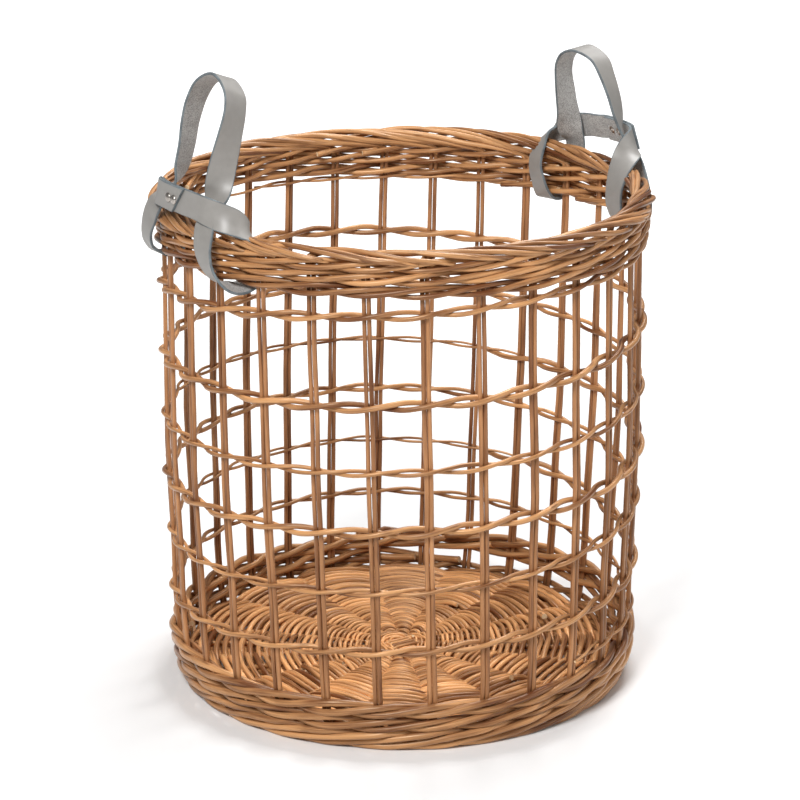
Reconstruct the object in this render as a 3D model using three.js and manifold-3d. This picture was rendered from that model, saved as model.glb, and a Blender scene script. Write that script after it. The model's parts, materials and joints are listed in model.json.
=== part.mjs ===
// Round wicker storage basket with two leather strap handles.
// Millimetres, +Z up. The origin is on the floor under the middle of the basket, and the handles
// stand on +X and -X. Angles are in degrees, counter-clockwise from +X, seen from above.
import * as THREE from 'three';
import { mergeVertices } from 'three/addons/utils/BufferGeometryUtils.js';
import Module from 'manifold-3d';

const wasm = await Module();
wasm.setup();

// Clearance between pieces that touch on the real basket
const gap = 0.3;

// Side stakes: pairs of upright rods
const pairCount = 28;
const stakeDiameter = 4.4;
const stakeSpread = 4.1; // between the middles of the two rods of a pair
const firstPairAngle = -25.8; // of the first pair, at the height leanHeight
const stakeLean = -0.006; // degrees that a stake turns round the basket for each millimetre up
const leanHeight = 200;
const basketRadius = 220;
// The wall's line through the middle of the stakes: height, and how much wider it is than basketRadius
const wallLine = [
  [10, -5.5],
  [50, 0.4],
  [135, 1.4],
  [235, 4.7],
  [330, 3.6],
  [466, 2.4],
].map(([height, wider]) => [height, basketRadius + wider]);

// Bottom wale: the thick woven foot round the base, with a ridge for each row of rods
const footLine = wallLine[1][1]; // radius of the wall's line at the foot
const footWidth = 5.5; // of the flat ring that stands on the floor
const footRadius = footLine - 12.4; // to the inside of that ring
const waleInside = footLine - 9.6;
const waleFlare = 2; // how much wider its inside is at the top
const waleOutside = footLine + 6.1;
const waleBelly = 33; // height below which the foot is drawn in
const footDraw = 13.5; // how far it is drawn in at the floor
const waleTop = 48.5;
const waleRows = 7;
const rowRelief = 2.2; // from the rows' backs to the grooves between them
const insideRelief = 1.8; // the same inside, above the base

// Base: a disc woven on sixteen spokes that come from two crossed bundles of four sticks
const baseUnderside = 8;
const baseFloor = 18;
const stickDiameter = 5;
const sticksInBundle = 4;
const bundleLength = 48;
const baseEye = bundleLength / 2 + 3.3; // radius of the unwoven middle
const splitHeight = 6.6; // of the split sticks, opened by the slit
const slitHeight = 2.6; // of the slit that one bundle has for the other
const threadedHeight = 2; // of the pared sticks in that slit
const weaveRounds = 24; // of two strands, one over and one under each spoke
const humpRise = 1.6; // of a strand's back over a spoke, above baseFloor
const seamDepth = 1.6; // of the seam between two rounds there
const crossDepth = 3; // of the weave between two spokes, where its strands cross

// Weavers: rods woven in pairs round the stakes, up the wall in one long spiral
const buttDiameter = 5;
const tipDiameter = 2.2;
const rowStartAngle = -32; // where the first of the heights below lies
const clearWall = 381.5; // height between foot and rim that the next heights are measured on
const rowHeights = [ // of the spiral, a quarter turn apart, from the top of the foot
  21.5, 47.5, 39.5, 50.5, 69.5, 104.5, 98.5, 108.5, 131.5, 160.5, 155.5, 165.5,
  183.5, 212.5, 213.5, 221.5, 242.5, 271.5, 274.5, 282.5, 306.5, 327.5, 340.5, 363.5,
];
// Angles where each pair of weavers ends and the next begins, in degrees from rowStartAngle
const weaverJoins = [-55, 420, 1140, 1860, 2090];
const weaverSides = 5;

// Rim: the upper wale and the rolled border on it
const rimWaleBottom = 430;
const rimWaleTop = rimWaleBottom + 34;
const rimCrest = rimWaleTop + 20;
const rimLine = wallLine[wallLine.length - 1][1]; // radius of the wall's line at the rim
const rimInside = rimLine - 10.4;
const rimOutside = rimLine + 12.9;
const crestRadius = rimLine + 0.6;
const rimLip = rimLine - 6.6; // inside radius of the upper wale's lower edge
const rimSkirt = rimLine + 5.4; // outside radius of the same edge

// Handles: one closed leather strap each, hitched round the rim
const strapWidth = 25;
const strapThickness = 3;
const hingeGap = 0.3; // at the line where the free loop bends
const hingeTwist = 0.1; // how far the legs are turned just above that line
// hingeRise and bridgeRise are from the rim's crest, hingeInset from its middle, and the loop's
// rise and lean from the hinge
const handles = [
  {
    name: 'left', angle: 180, hingeRise: 29, hingeInset: 11.7, hingeLean: 26,
    loopRise: 86, loopLeanIn: 17.3, legSpacing: 68, apexShift: 4, bridgeRise: 10, bridgeSlope: 3,
  },
  {
    name: 'right', angle: 0, hingeRise: 38, hingeInset: 6.7, hingeLean: 10,
    loopRise: 59, loopLeanIn: 5.3, legSpacing: 78, apexShift: 9, bridgeRise: 20, bridgeSlope: 0,
  },
];
const windowAngle = 18.5; // the strap goes through the window nearest to this angle from its middle
const strapSlack = 2.2; // how far the stiff leather stands off the rim's outside and inside
const lapStart = -13; // the overlapped end of the strap, measured along the rim
const lapEnd = -43;
const lapStep = 0.2; // slope of the lapped end's cut edge
const rivetPlaces = [-28, -20];
const rivetHeadDiameter = 7.4;
const rivetHeadHeight = 2;
const rivetShaftDiameter = 3.4;
const rivetWasherHeight = 1;

// Facets
const ringSegments = 56;
const stepsPerStation = 3;
const rivetSides = 10;

const willow = new THREE.MeshStandardMaterial({ color: 0xb5804f, roughness: 0.6, metalness: 0 });
const willowDark = new THREE.MeshStandardMaterial({ color: 0x9a683f, roughness: 0.65, metalness: 0 });
const leather = new THREE.MeshStandardMaterial({ color: 0xa8a49e, roughness: 0.55, metalness: 0 });
const nickel = new THREE.MeshStandardMaterial({ color: 0x57534f, roughness: 0.35, metalness: 1 });

const radians = THREE.MathUtils.degToRad;

// A point on a circle round the basket's axis
function polar(angle, radius, height) {
  return new THREE.Vector3(radius * Math.cos(radians(angle)), radius * Math.sin(radians(angle)), height);
}

// Radius of the wall's line at a height
function wallRadius(height) {
  const last = wallLine.length - 1;
  let i = 1;
  while (i < last && height > wallLine[i][0]) {
    i += 1;
  }
  const [lowHeight, lowRadius] = wallLine[i - 1];
  const [highHeight, highRadius] = wallLine[i];
  return lowRadius + ((highRadius - lowRadius) * (height - lowHeight)) / (highHeight - lowHeight);
}

function pairAngle(index, height) {
  return firstPairAngle + (360 / pairCount) * index + stakeLean * (height - leanHeight);
}

// Closed body through rings of equally many points, with a flat cap at each end
function loft(rings) {
  const count = rings[0].length;
  const positions = [];
  const indices = [];
  for (const ring of rings) {
    for (const p of ring) {
      positions.push(p.x, p.y, p.z);
    }
  }
  const top = (rings.length - 1) * count;
  for (let i = 1; i + 1 < count; i += 1) {
    indices.push(0, i + 1, i, top, top + i, top + i + 1);
  }
  for (let r = 0; r + 1 < rings.length; r += 1) {
    for (let i = 0; i < count; i += 1) {
      const a = r * count + i;
      const b = r * count + ((i + 1) % count);
      // both broad sides of a twisted strap are split along the same diagonal
      if (i < count / 2) {
        indices.push(a, b, b + count, a, b + count, a + count);
      } else {
        indices.push(a, b, a + count, b, b + count, a + count);
      }
    }
  }
  const geometry = new THREE.BufferGeometry();
  geometry.setAttribute('position', new THREE.Float32BufferAttribute(positions, 3));
  geometry.setIndex(indices);
  return geometry;
}

function toSolid(geometry) {
  const bare = geometry.clone();
  bare.deleteAttribute('normal');
  bare.deleteAttribute('uv');
  const merged = mergeVertices(bare, 1e-4);
  return new wasm.Manifold(new wasm.Mesh({
    numProp: 3,
    vertProperties: new Float32Array(merged.attributes.position.array),
    triVerts: new Uint32Array(merged.index.array),
  }));
}

function toGeometry(solid) {
  const mesh = solid.getMesh();
  const geometry = new THREE.BufferGeometry();
  geometry.setAttribute('position', new THREE.Float32BufferAttribute(mesh.vertProperties, 3));
  geometry.setIndex(Array.from(mesh.triVerts));
  return geometry;
}

const basket = new THREE.Group();

function addPiece(name, geometry, material) {
  const mesh = new THREE.Mesh(geometry, material);
  mesh.name = name;
  basket.add(mesh);
}

// A ring round the basket's axis from a closed outline of radius and height
function ring(outline, segments = ringSegments) {
  const points = outline.map(([radius, height]) => new THREE.Vector2(radius, height));
  points.push(points[0].clone());
  const geometry = new THREE.LatheGeometry(points, segments);
  geometry.rotateX(Math.PI / 2);
  return geometry;
}

// Stake pairs

// Outline of a pair across its length: x round the basket, y outwards. It starts in the groove
// between the two rods, from where a flat end's triangles can fan out.
function pairOutline(grow, grooved) {
  const reach = stakeDiameter / 2 + grow;
  const half = stakeSpread / 2;
  const groove = grooved ? [[0, reach * 0.6]] : [];
  const outline = groove.map(([x, y]) => [x, -y]);
  for (const turn of [-75, -25, 25, 75]) {
    outline.push([half + reach * Math.cos(radians(turn)), reach * Math.sin(radians(turn))]);
  }
  outline.push(...groove);
  for (const turn of [105, 155, 205, 255]) {
    outline.push([-half + reach * Math.cos(radians(turn)), reach * Math.sin(radians(turn))]);
  }
  return outline;
}

function stakePair(index, heights, grow = 0) {
  const outline = pairOutline(grow, grow === 0);
  const facing = pairAngle(index, leanHeight);
  const round = polar(facing + 90, 1, 0);
  const out = polar(facing, 1, 0);
  const rings = heights.map((height) => {
    const middle = polar(pairAngle(index, height), wallRadius(height), height);
    return outline.map(([x, y]) => middle.clone().addScaledVector(round, -x).addScaledVector(out, y));
  });
  return loft(rings);
}

const stakeTop = rimWaleTop - gap;
const stakeHeights = [...wallLine.map(([height]) => height).filter((h) => h < stakeTop), stakeTop];
for (let i = 0; i < pairCount; i += 1) {
  addPiece(`stake_pair_${String(i + 1).padStart(2, '0')}`, stakePair(i, stakeHeights), willow);
}

// Rings that the stakes pass through

function withStakeHoles(geometry, low, high) {
  let solid = toSolid(geometry);
  const levels = [low, ...wallLine.map(([height]) => height).filter((h) => h > low && h < high), high];
  for (let i = 0; i < pairCount; i += 1) {
    solid = solid.subtract(toSolid(stakePair(i, levels, gap)));
  }
  return toGeometry(solid);
}

// Radii of the bottom wale's outside and inside at a height, over the rows' backs
function waleOuter(height) {
  return waleOutside - footDraw * Math.max(0, 1 - height / waleBelly) ** 2;
}

function waleInner(height) {
  return waleInside + (waleFlare * Math.max(0, height - baseFloor)) / (waleTop - baseFloor);
}

const rowPitch = waleTop / waleRows;
const waleOutline = [
  [waleInside, baseUnderside - 0.5],
  [footRadius, baseUnderside / 2],
  [footRadius, 0],
  [footRadius + footWidth, 0],
];
for (let row = 0; row < waleRows; row += 1) {
  const middle = rowPitch * (row + 0.5);
  const seam = rowPitch * (row + 1);
  waleOutline.push([waleOuter(middle), middle], [waleOuter(seam) - rowRelief, seam]);
}
for (let row = waleRows - 1; rowPitch * row > baseFloor; row -= 1) {
  const middle = rowPitch * (row + 0.5);
  const seam = rowPitch * (row + 1);
  waleOutline.push([waleInner(seam) + insideRelief, seam], [waleInner(middle), middle]);
}
waleOutline.push([waleInside, baseFloor + 1]);
const bottomWale = ring(waleOutline);
addPiece('bottom_wale', withStakeHoles(bottomWale, wallLine[0][0] - gap, waleTop + 1), willow);

const rimWale = ring([
  [rimLip, rimWaleBottom],
  [rimSkirt, rimWaleBottom],
  [rimSkirt + 2.5, rimWaleBottom + 15],
  [rimOutside - 1.5, rimWaleTop],
  [rimInside + 1, rimWaleTop],
]);
addPiece('rim_wale', withStakeHoles(rimWale, rimWaleBottom - 1, rimWaleTop + 1), willow);

const borderBottom = rimWaleTop + gap;
const border = ring([
  [rimInside + 0.8, borderBottom],
  [rimOutside - 0.5, borderBottom],
  [rimOutside, borderBottom + 4],
  [rimOutside - 1.8, rimCrest - 7],
  [crestRadius + 6, rimCrest - 2],
  [crestRadius, rimCrest],
  [crestRadius - 6, rimCrest - 2],
  [rimInside + 1, rimCrest - 8],
  [rimInside, borderBottom + 5],
]);
addPiece('rolled_border', border, willowDark);

// Base

const baseRadius = waleInside - gap;
const stickHeight = (baseUnderside + baseFloor) / 2;
const spokeEnd = waleInside * Math.cos(Math.PI / ringSegments) - gap; // short of the wale's flats

// Straight rod on the base, from one radius to another
function spoke(angle, from, to, radius) {
  const geometry = new THREE.CylinderGeometry(radius, radius, to - from, 8);
  geometry.rotateZ(-Math.PI / 2);
  geometry.translate((from + to) / 2, 0, stickHeight);
  geometry.rotateZ(radians(angle));
  return toSolid(geometry);
}

// The spokes of one bundle fan out evenly to both sides
function spokeAngles(bundleAngle) {
  const step = 90 / sticksInBundle;
  const angles = [];
  for (const side of [0, 180]) {
    for (let i = 0; i < sticksInBundle; i += 1) {
      angles.push(bundleAngle + side + step * (i - (sticksInBundle - 1) / 2));
    }
  }
  return angles;
}

function bundleBlock(length, width, height) {
  const block = new THREE.BoxGeometry(length, width, height);
  block.translate(0, 0, stickHeight);
  return toSolid(block);
}

const bundleWidth = sticksInBundle * stickDiameter;
const spokeStart = bundleWidth * 0.95; // where the outer spokes are still in their bundle

let slit = bundleBlock(bundleLength, bundleWidth, splitHeight);
let threaded = bundleBlock(bundleLength + 2, bundleWidth - 2 * gap, threadedHeight);
for (const angle of spokeAngles(0)) {
  slit = slit.add(spoke(angle, spokeStart, spokeEnd, stickDiameter / 2));
  threaded = threaded.add(spoke(angle, spokeStart, spokeEnd, stickDiameter / 2));
}
slit = slit.subtract(bundleBlock(bundleWidth, bundleWidth + 2, slitHeight));
addPiece('base_sticks_slit', toGeometry(slit), willow);
addPiece('base_sticks_threaded', toGeometry(threaded.rotate([0, 0, 90])), willow);

// Closed body through rings of equally many points that go round and meet
function closedRing(rings) {
  const count = rings[0].length;
  const positions = rings.flatMap((ring) => ring.flatMap((p) => [p.x, p.y, p.z]));
  const indices = [];
  for (let r = 0; r < rings.length; r += 1) {
    const next = (r + 1) % rings.length;
    for (let i = 0; i < count; i += 1) {
      const [a, b] = [r * count + i, r * count + ((i + 1) % count)];
      const [c, d] = [next * count + ((i + 1) % count), next * count + i];
      indices.push(a, b, c, a, c, d);
    }
  }
  const geometry = new THREE.BufferGeometry();
  geometry.setAttribute('position', new THREE.Float32BufferAttribute(positions, 3));
  geometry.setIndex(indices);
  return geometry;
}

// Section of the woven base along one radius: over a spoke each round has its hump and its seam
function baseSection(angle, onSpoke) {
  const section = [polar(angle, spokeEnd, baseUnderside), polar(angle, baseEye, baseUnderside)];
  for (let k = 0; k <= 2 * weaveRounds; k += 1) {
    const radius = baseEye + ((spokeEnd - baseEye) * k) / (2 * weaveRounds);
    const overSpoke = k % 2 ? humpRise : -seamDepth;
    section.push(polar(angle, radius, baseFloor + (onSpoke ? overSpoke : -crossDepth)));
  }
  return section;
}

const allSpokes = [...spokeAngles(0), ...spokeAngles(90)].sort((a, b) => a - b);
const halfStep = 180 / allSpokes.length;
const sections = allSpokes.flatMap((angle) => [
  baseSection(angle, true),
  baseSection(angle + halfStep, false),
]);
let baseWeave = toSolid(closedRing(sections));
for (const angle of allSpokes) {
  baseWeave = baseWeave.subtract(spoke(angle, spokeStart, baseRadius + 1, stickDiameter / 2 + gap));
}
addPiece('base_weave', toGeometry(baseWeave), willow);

// Weavers

// Height of the spiral at an angle counted from rowStartAngle, spread over the clear wall
function rowHeight(turned) {
  return waleTop + (rowRise(turned) * (rimWaleBottom - waleTop)) / clearWall;
}

function rowRise(turned) {
  const place = turned / 90;
  const last = rowHeights.length - 1;
  const i = Math.min(Math.max(Math.floor(place), 0), last - 1);
  const t = place - i;
  const before = i > 0 ? rowHeights[i - 1] : 2 * rowHeights[0] - rowHeights[1];
  const after = i + 2 <= last ? rowHeights[i + 2] : 2 * rowHeights[last] - rowHeights[last - 1];
  const [p, q] = [rowHeights[i], rowHeights[i + 1]];
  if (t < 0 || t > 1) {
    return t < 0 ? p + t * (q - p) * 0.6 : q + (t - 1) * (q - p);
  }
  return 0.5 * (2 * p + (q - before) * t + (2 * before - 5 * p + 4 * q - after) * t * t
    + (3 * p - before - 3 * q + after) * t * t * t);
}

// The weaver's middle, off the wall's line: outwards by the stakes and upwards by its partner
function weaverSwing(radius) {
  const halfSpan = (Math.PI * wallRadius(leanHeight)) / pairCount;
  const clearOfStake = stakeDiameter / 2 + radius + gap;
  const out = clearOfStake / (1 - stakeSpread / 2 / halfSpan);
  const clearOfPartner = radius + gap / 2;
  const up = (clearOfPartner * out) / Math.sqrt(out * out - clearOfPartner * clearOfPartner);
  return [out, up];
}

function weaverRing(turned, phase, radius) {
  const [out, up] = weaverSwing(radius);
  const row = rowHeight(turned);
  const height = row + up * Math.sin(phase);
  const angle = rowStartAngle + turned + stakeLean * (row - leanHeight);
  const middle = polar(angle, wallRadius(row) + out * Math.cos(phase), height);
  const outwards = polar(angle, 1, 0);
  const points = [];
  for (let i = 0; i < weaverSides; i += 1) {
    const turn = (2 * Math.PI * i) / weaverSides + phase;
    const p = middle.clone().addScaledVector(outwards, radius * Math.cos(turn));
    p.z += radius * Math.sin(turn);
    points.push(p);
  }
  // the section turns with the twist, and this order points the faces outwards
  return points.reverse();
}

// One ring on each stake pair and one midway to the next, with the twist going half round each time
function weaver(from, to, strand) {
  const step = 360 / pairCount;
  const offset = firstPairAngle - rowStartAngle;
  const first = Math.ceil((from - offset) / step);
  const last = Math.floor((to - offset) / step);
  const rings = [];
  for (let half = 2 * first; half <= 2 * last; half += 1) {
    const turned = offset + (half * step) / 2;
    const along = (half - 2 * first) / (2 * (last - first));
    const radius = (buttDiameter + (tipDiameter - buttDiameter) * along) / 2;
    const phase = (Math.PI * half) / 2 + Math.PI * strand;
    rings.push(weaverRing(turned, phase, radius));
  }
  return loft(rings);
}

for (let i = 0; i + 1 < weaverJoins.length; i += 1) {
  for (const strand of [0, 1]) {
    const name = `weaver_${i + 1}${'ab'[strand]}`;
    addPiece(name, weaver(weaverJoins[i] + 1, weaverJoins[i + 1] - 1, strand), willow);
  }
}

// Handles

const halfThickness = strapThickness / 2;
const underRim = rimWaleBottom - gap - halfThickness;
const overCrest = rimCrest + gap + halfThickness;
const insideRim = rimInside - gap - halfThickness;
const outsideRim = rimOutside + gap + halfThickness;

// Distance along the rim from a handle's middle to the window that its strap goes through
function windowPlace(handleAngle, side) {
  const step = 360 / pairCount;
  const wanted = handleAngle + side * windowAngle;
  const firstWindow = pairAngle(0, underRim) + step / 2;
  const nearest = firstWindow + step * Math.round((wanted - firstWindow) / step);
  return crestRadius * Math.abs(radians(nearest - handleAngle));
}

// A station of the strap: where it lies along the rim (measured on the crest), its distance from
// the basket's axis, its height, and the way that its smooth side faces (along, outwards, up)
function onRim(place, radius, height, along, outwards, up) {
  const turn = place / crestRadius;
  const [c, s] = [Math.cos(turn), Math.sin(turn)];
  return [radius * s, radius * c, height, along * c + outwards * s, outwards * c - along * s, up];
}

// From the hinge of one leg down the outside of the rim, under it, up its inside and over its crest
function wrapStations(h, side) {
  const leg = h.legSpacing / 2;
  const under = windowPlace(h.angle, side);
  const at = (share) => side * (leg + (under - leg) * share);
  const slackInside = insideRim - strapSlack / 2;
  return [
    [side * leg, crestRadius - h.hingeInset, rimCrest + h.hingeRise, 0, 1, 0],
    onRim(at(0.06), crestRadius + 1.5, rimCrest + strapWidth / 2, 0, 0.9, 0.3),
    onRim(at(0.22), rimOutside - 0.5, rimCrest - 4, 0, 1, 0.2),
    onRim(at(0.5), outsideRim + strapSlack, rimWaleTop - 5, 0, 1, 0),
    onRim(at(0.82), outsideRim + strapSlack, rimWaleBottom + 15, 0, 1, 0),
    onRim(at(0.97), rimSkirt + 8, rimWaleBottom + 3, 0, 0.85, -0.5),
    onRim(at(1), rimSkirt, underRim - 1, 0, 0.1, -1),
    onRim(at(1), rimLip + 1.5, underRim - 1, 0, 0, -1),
    onRim(at(1), insideRim, rimWaleBottom + 2, 0, -0.8, -0.6),
    onRim(at(1), slackInside, rimWaleBottom + 14, 0, -1, 0),
    onRim(at(1), slackInside, rimWaleTop - 2, 0, -1, 0),
    onRim(at(0.96), insideRim + 1, rimCrest - 3, 0, -0.8, 0.6),
    onRim(at(0.92), crestRadius - 1, overCrest + 2.5, 0, 0.4, 1),
  ];
}

// From one side's crest round to the outside, along the rim in front of both legs, and back
function bridgeStations(h) {
  const outer = outsideRim + strapSlack;
  const half = [1, -1].map((side) => {
    const corner = side * (h.legSpacing / 2 + strapWidth);
    const height = (share) => rimCrest + h.bridgeRise - side * h.bridgeSlope * share;
    return [
      onRim(corner, outer - 1.5, height(1) - 3, side * 0.3, 1, 0.3),
      onRim(corner * 0.76, outer + 0.5, height(0.9), 0, 1, 0.05),
      onRim(corner * 0.4, outer, height(0.4), 0, 1, 0),
    ];
  });
  return [...half[0], onRim(0, outer, rimCrest + h.bridgeRise, 0, 1, 0), ...half[1].reverse()];
}

// Distance out and height of the loop, from 0 at its hinge to 1 at its top
function loopPlace(h, share) {
  return [
    crestRadius - h.hingeInset - h.loopLeanIn * share,
    rimCrest + h.hingeRise + h.loopRise * share,
  ];
}

function loopStations(h, side) {
  const leg = h.legSpacing / 2;
  const at = (share) => loopPlace(h, share);
  const twist = side < 0 ? 0.45 : 0;
  return [
    [side * leg, ...at(0), 0, 1, 0],
    [side * (leg + 0.5), ...at(0.12), side * hingeTwist, 0.9, 0],
    [h.apexShift * 0.2 + side * (leg + 1), ...at(0.33), side, 0.2 + twist, 0],
    [h.apexShift * 0.6 + side * (leg + 1), ...at(0.66), side, twist * 0.7, 0.1],
    [h.apexShift + side * leg * 0.78, ...at(0.9), side * 0.75, 0, 0.7],
  ];
}

function smoothPoint(points, i, t) {
  const at = (k) => points[Math.min(Math.max(k, 0), points.length - 1)];
  const [a, b, c, d] = [at(i - 1), at(i), at(i + 1), at(i + 2)];
  return b.map((_, k) => 0.5 * (2 * b[k] + (c[k] - a[k]) * t
    + (2 * a[k] - 5 * b[k] + 4 * c[k] - d[k]) * t * t
    + (3 * b[k] - a[k] - 3 * c[k] + d[k]) * t * t * t));
}

// Middle, direction of travel, smooth-side and width directions of the strap at every step. The
// stations from bridgeFrom up to bridgeTo are the bridge.
function strapFrames(stations, handleAngle, bridgeFrom = 0, bridgeTo = 0) {
  const outwards = polar(handleAngle, 1, 0);
  const along = polar(handleAngle + 90, 1, 0);
  const frames = [];
  for (let i = 0; i + 1 < stations.length; i += 1) {
    for (let k = 0; k < stepsPerStation; k += 1) {
      frames.push(smoothPoint(stations, i, k / stepsPerStation));
    }
  }
  frames.push(stations[stations.length - 1]);
  const toWorld = (x, y, z) => new THREE.Vector3(0, 0, z).addScaledVector(along, x).addScaledVector(outwards, y);
  const middles = frames.map(([s, out, height]) => toWorld(s, out, height));
  return frames.map((frame, i) => {
    const before = middles[Math.max(i - 1, 0)];
    const after = middles[Math.min(i + 1, middles.length - 1)];
    const forward = after.clone().sub(before).normalize();
    const across = forward.clone().cross(toWorld(frame[3], frame[4], frame[5])).normalize();
    const smooth = across.clone().cross(forward);
    const station = i / stepsPerStation;
    const onBridge = station >= bridgeFrom && station < bridgeTo;
    return { middle: middles[i], forward, across, smooth, along: frame[0], onBridge };
  });
}

// Rectangle across the strap, from its suede side to its smooth side
function strapRing(frame, low, high, shift = 0) {
  const corner = (w, t) => frame.middle.clone()
    .addScaledVector(frame.forward, shift)
    .addScaledVector(frame.across, w)
    .addScaledVector(frame.smooth, t);
  const w = strapWidth / 2;
  return [corner(-w, low), corner(-w, high), corner(w, high), corner(w, low)];
}

// Two rounded-off rings beyond a hinge, so that the loop turns in its seat
function roundedEnd(frame, direction) {
  return [0.55, 0.92].map((share) => {
    const half = halfThickness * Math.sqrt(1 - share * share);
    return strapRing(frame, -half, half, direction * halfThickness * share);
  });
}

// At a hinge the strap lies square to the hinge's axis, with the lean of the leg there
function hingeFrame(h, frame) {
  const lean = radians(h.hingeLean);
  const forward = polar(h.angle, Math.sin(lean), -Math.cos(lean));
  if (frame.forward.z > 0) {
    forward.negate();
  }
  const smooth = polar(h.angle, Math.cos(lean), Math.sin(lean));
  return { ...frame, forward, smooth, across: forward.clone().cross(smooth) };
}

function handleLoop(h) {
  const apexTilt = Math.atan2(h.loopLeanIn, h.loopRise);
  const apex = [h.apexShift, ...loopPlace(h, 1), 0, -Math.sin(apexTilt), Math.cos(apexTilt)];
  const stations = [...loopStations(h, 1), apex, ...loopStations(h, -1).reverse()];
  const frames = strapFrames(stations, h.angle);
  const first = hingeFrame(h, frames[0]);
  const last = hingeFrame(h, frames[frames.length - 1]);
  const rings = [first, ...frames.slice(1, -1), last]
    .map((frame) => strapRing(frame, -halfThickness, halfThickness));
  return loft([...roundedEnd(first, -1).reverse(), ...rings, ...roundedEnd(last, 1)]);
}

const lapThickness = 2 * strapThickness;

// The hitched part of the strap, with its second layer where its two ends overlap on the bridge
function handleHitch(h, frames) {
  const setBack = halfThickness + hingeGap;
  const first = hingeFrame(h, frames[0]);
  const last = hingeFrame(h, frames[frames.length - 1]);
  const rings = [strapRing(first, -halfThickness, halfThickness, setBack)];
  let wasLapped = false;
  for (const frame of frames.slice(1, -1)) {
    const lapped = frame.onBridge && frame.along < lapStart && frame.along > lapEnd;
    const single = strapRing(frame, -halfThickness, halfThickness);
    const double = strapRing(frame, -halfThickness, lapThickness - halfThickness);
    if (lapped && !wasLapped) {
      rings.push(strapRing(frame, -halfThickness, halfThickness, -lapStep), double);
    } else if (wasLapped && !lapped) {
      rings.push(strapRing(frame, -halfThickness, lapThickness - halfThickness, -lapStep), single);
    } else {
      rings.push(lapped ? double : single);
    }
    wasLapped = lapped;
  }
  rings.push(strapRing(last, -halfThickness, halfThickness, -setBack));
  return loft(rings);
}

// The place on the bridge where a rivet goes through
function rivetFrame(frames, place) {
  const bridge = frames.filter((frame) => frame.onBridge);
  const i = bridge.findIndex((frame) => frame.along < place);
  const [a, b] = [bridge[i - 1], bridge[i]];
  const share = (place - a.along) / (b.along - a.along);
  return {
    middle: a.middle.clone().lerp(b.middle, share),
    smooth: a.smooth.clone().lerp(b.smooth, share).normalize(),
  };
}

// Turns a shape round +Y onto the rivet's axis
function onRivetAxis(geometry, frame) {
  const turn = new THREE.Quaternion().setFromUnitVectors(new THREE.Vector3(0, 1, 0), frame.smooth);
  geometry.applyQuaternion(turn);
  geometry.translate(frame.middle.x, frame.middle.y, frame.middle.z);
  return geometry;
}

function rivet(frame) {
  const low = -halfThickness - gap;
  const high = lapThickness - halfThickness + gap;
  const head = rivetHeadDiameter / 2;
  const shaft = rivetShaftDiameter / 2;
  const outline = [
    [0, low - rivetWasherHeight],
    [head * 0.9, low - rivetWasherHeight],
    [head * 0.9, low],
    [shaft, low],
    [shaft, high],
    [head, high],
    [head * 0.8, high + rivetHeadHeight * 0.7],
    [0, high + rivetHeadHeight],
  ];
  const points = outline.map(([r, y]) => new THREE.Vector2(r, y));
  return onRivetAxis(new THREE.LatheGeometry(points, rivetSides), frame);
}

for (const h of handles) {
  const stations = [...wrapStations(h, 1), ...bridgeStations(h), ...wrapStations(h, -1).reverse()];
  const wrapLength = wrapStations(h, 1).length;
  const frames = strapFrames(stations, h.angle, wrapLength, stations.length - wrapLength);
  let hitch = toSolid(handleHitch(h, frames));
  rivetPlaces.forEach((place, i) => {
    const frame = rivetFrame(frames, place);
    const bore = rivetShaftDiameter / 2 + gap;
    const drill = new THREE.CylinderGeometry(bore, bore, 4 * lapThickness, rivetSides);
    hitch = hitch.subtract(toSolid(onRivetAxis(drill, frame)));
    addPiece(`${h.name}_rivet_${i + 1}`, rivet(frame), nickel);
  });
  addPiece(`${h.name}_handle_hitch`, toGeometry(hitch), leather);
  addPiece(`${h.name}_handle_loop`, handleLoop(h), leather);
}

export default basket;
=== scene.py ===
import bpy, bmesh, json, math, random
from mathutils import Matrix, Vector, noise

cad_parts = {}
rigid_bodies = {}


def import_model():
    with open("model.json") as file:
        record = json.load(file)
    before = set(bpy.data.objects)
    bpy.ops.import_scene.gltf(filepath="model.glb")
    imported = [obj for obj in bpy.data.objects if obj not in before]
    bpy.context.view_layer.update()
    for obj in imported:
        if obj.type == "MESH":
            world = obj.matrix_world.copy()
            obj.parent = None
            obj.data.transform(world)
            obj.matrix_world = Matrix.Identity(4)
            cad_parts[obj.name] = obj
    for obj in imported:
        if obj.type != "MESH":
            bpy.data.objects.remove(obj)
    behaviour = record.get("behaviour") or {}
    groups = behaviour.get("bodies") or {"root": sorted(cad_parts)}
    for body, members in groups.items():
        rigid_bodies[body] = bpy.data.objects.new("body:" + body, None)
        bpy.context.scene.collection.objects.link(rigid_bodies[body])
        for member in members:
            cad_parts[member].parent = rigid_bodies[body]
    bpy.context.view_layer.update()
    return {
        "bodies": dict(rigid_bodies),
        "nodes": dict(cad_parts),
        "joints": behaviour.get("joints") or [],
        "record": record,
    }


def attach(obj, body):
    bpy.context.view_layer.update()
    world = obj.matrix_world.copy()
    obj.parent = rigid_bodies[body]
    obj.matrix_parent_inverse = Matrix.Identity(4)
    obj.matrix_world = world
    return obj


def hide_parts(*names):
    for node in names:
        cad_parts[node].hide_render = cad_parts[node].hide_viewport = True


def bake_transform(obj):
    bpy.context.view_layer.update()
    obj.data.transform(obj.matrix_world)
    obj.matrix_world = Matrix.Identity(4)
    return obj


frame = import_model()
print("basket: frame loaded", len(frame["nodes"]), "nodes")

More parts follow.
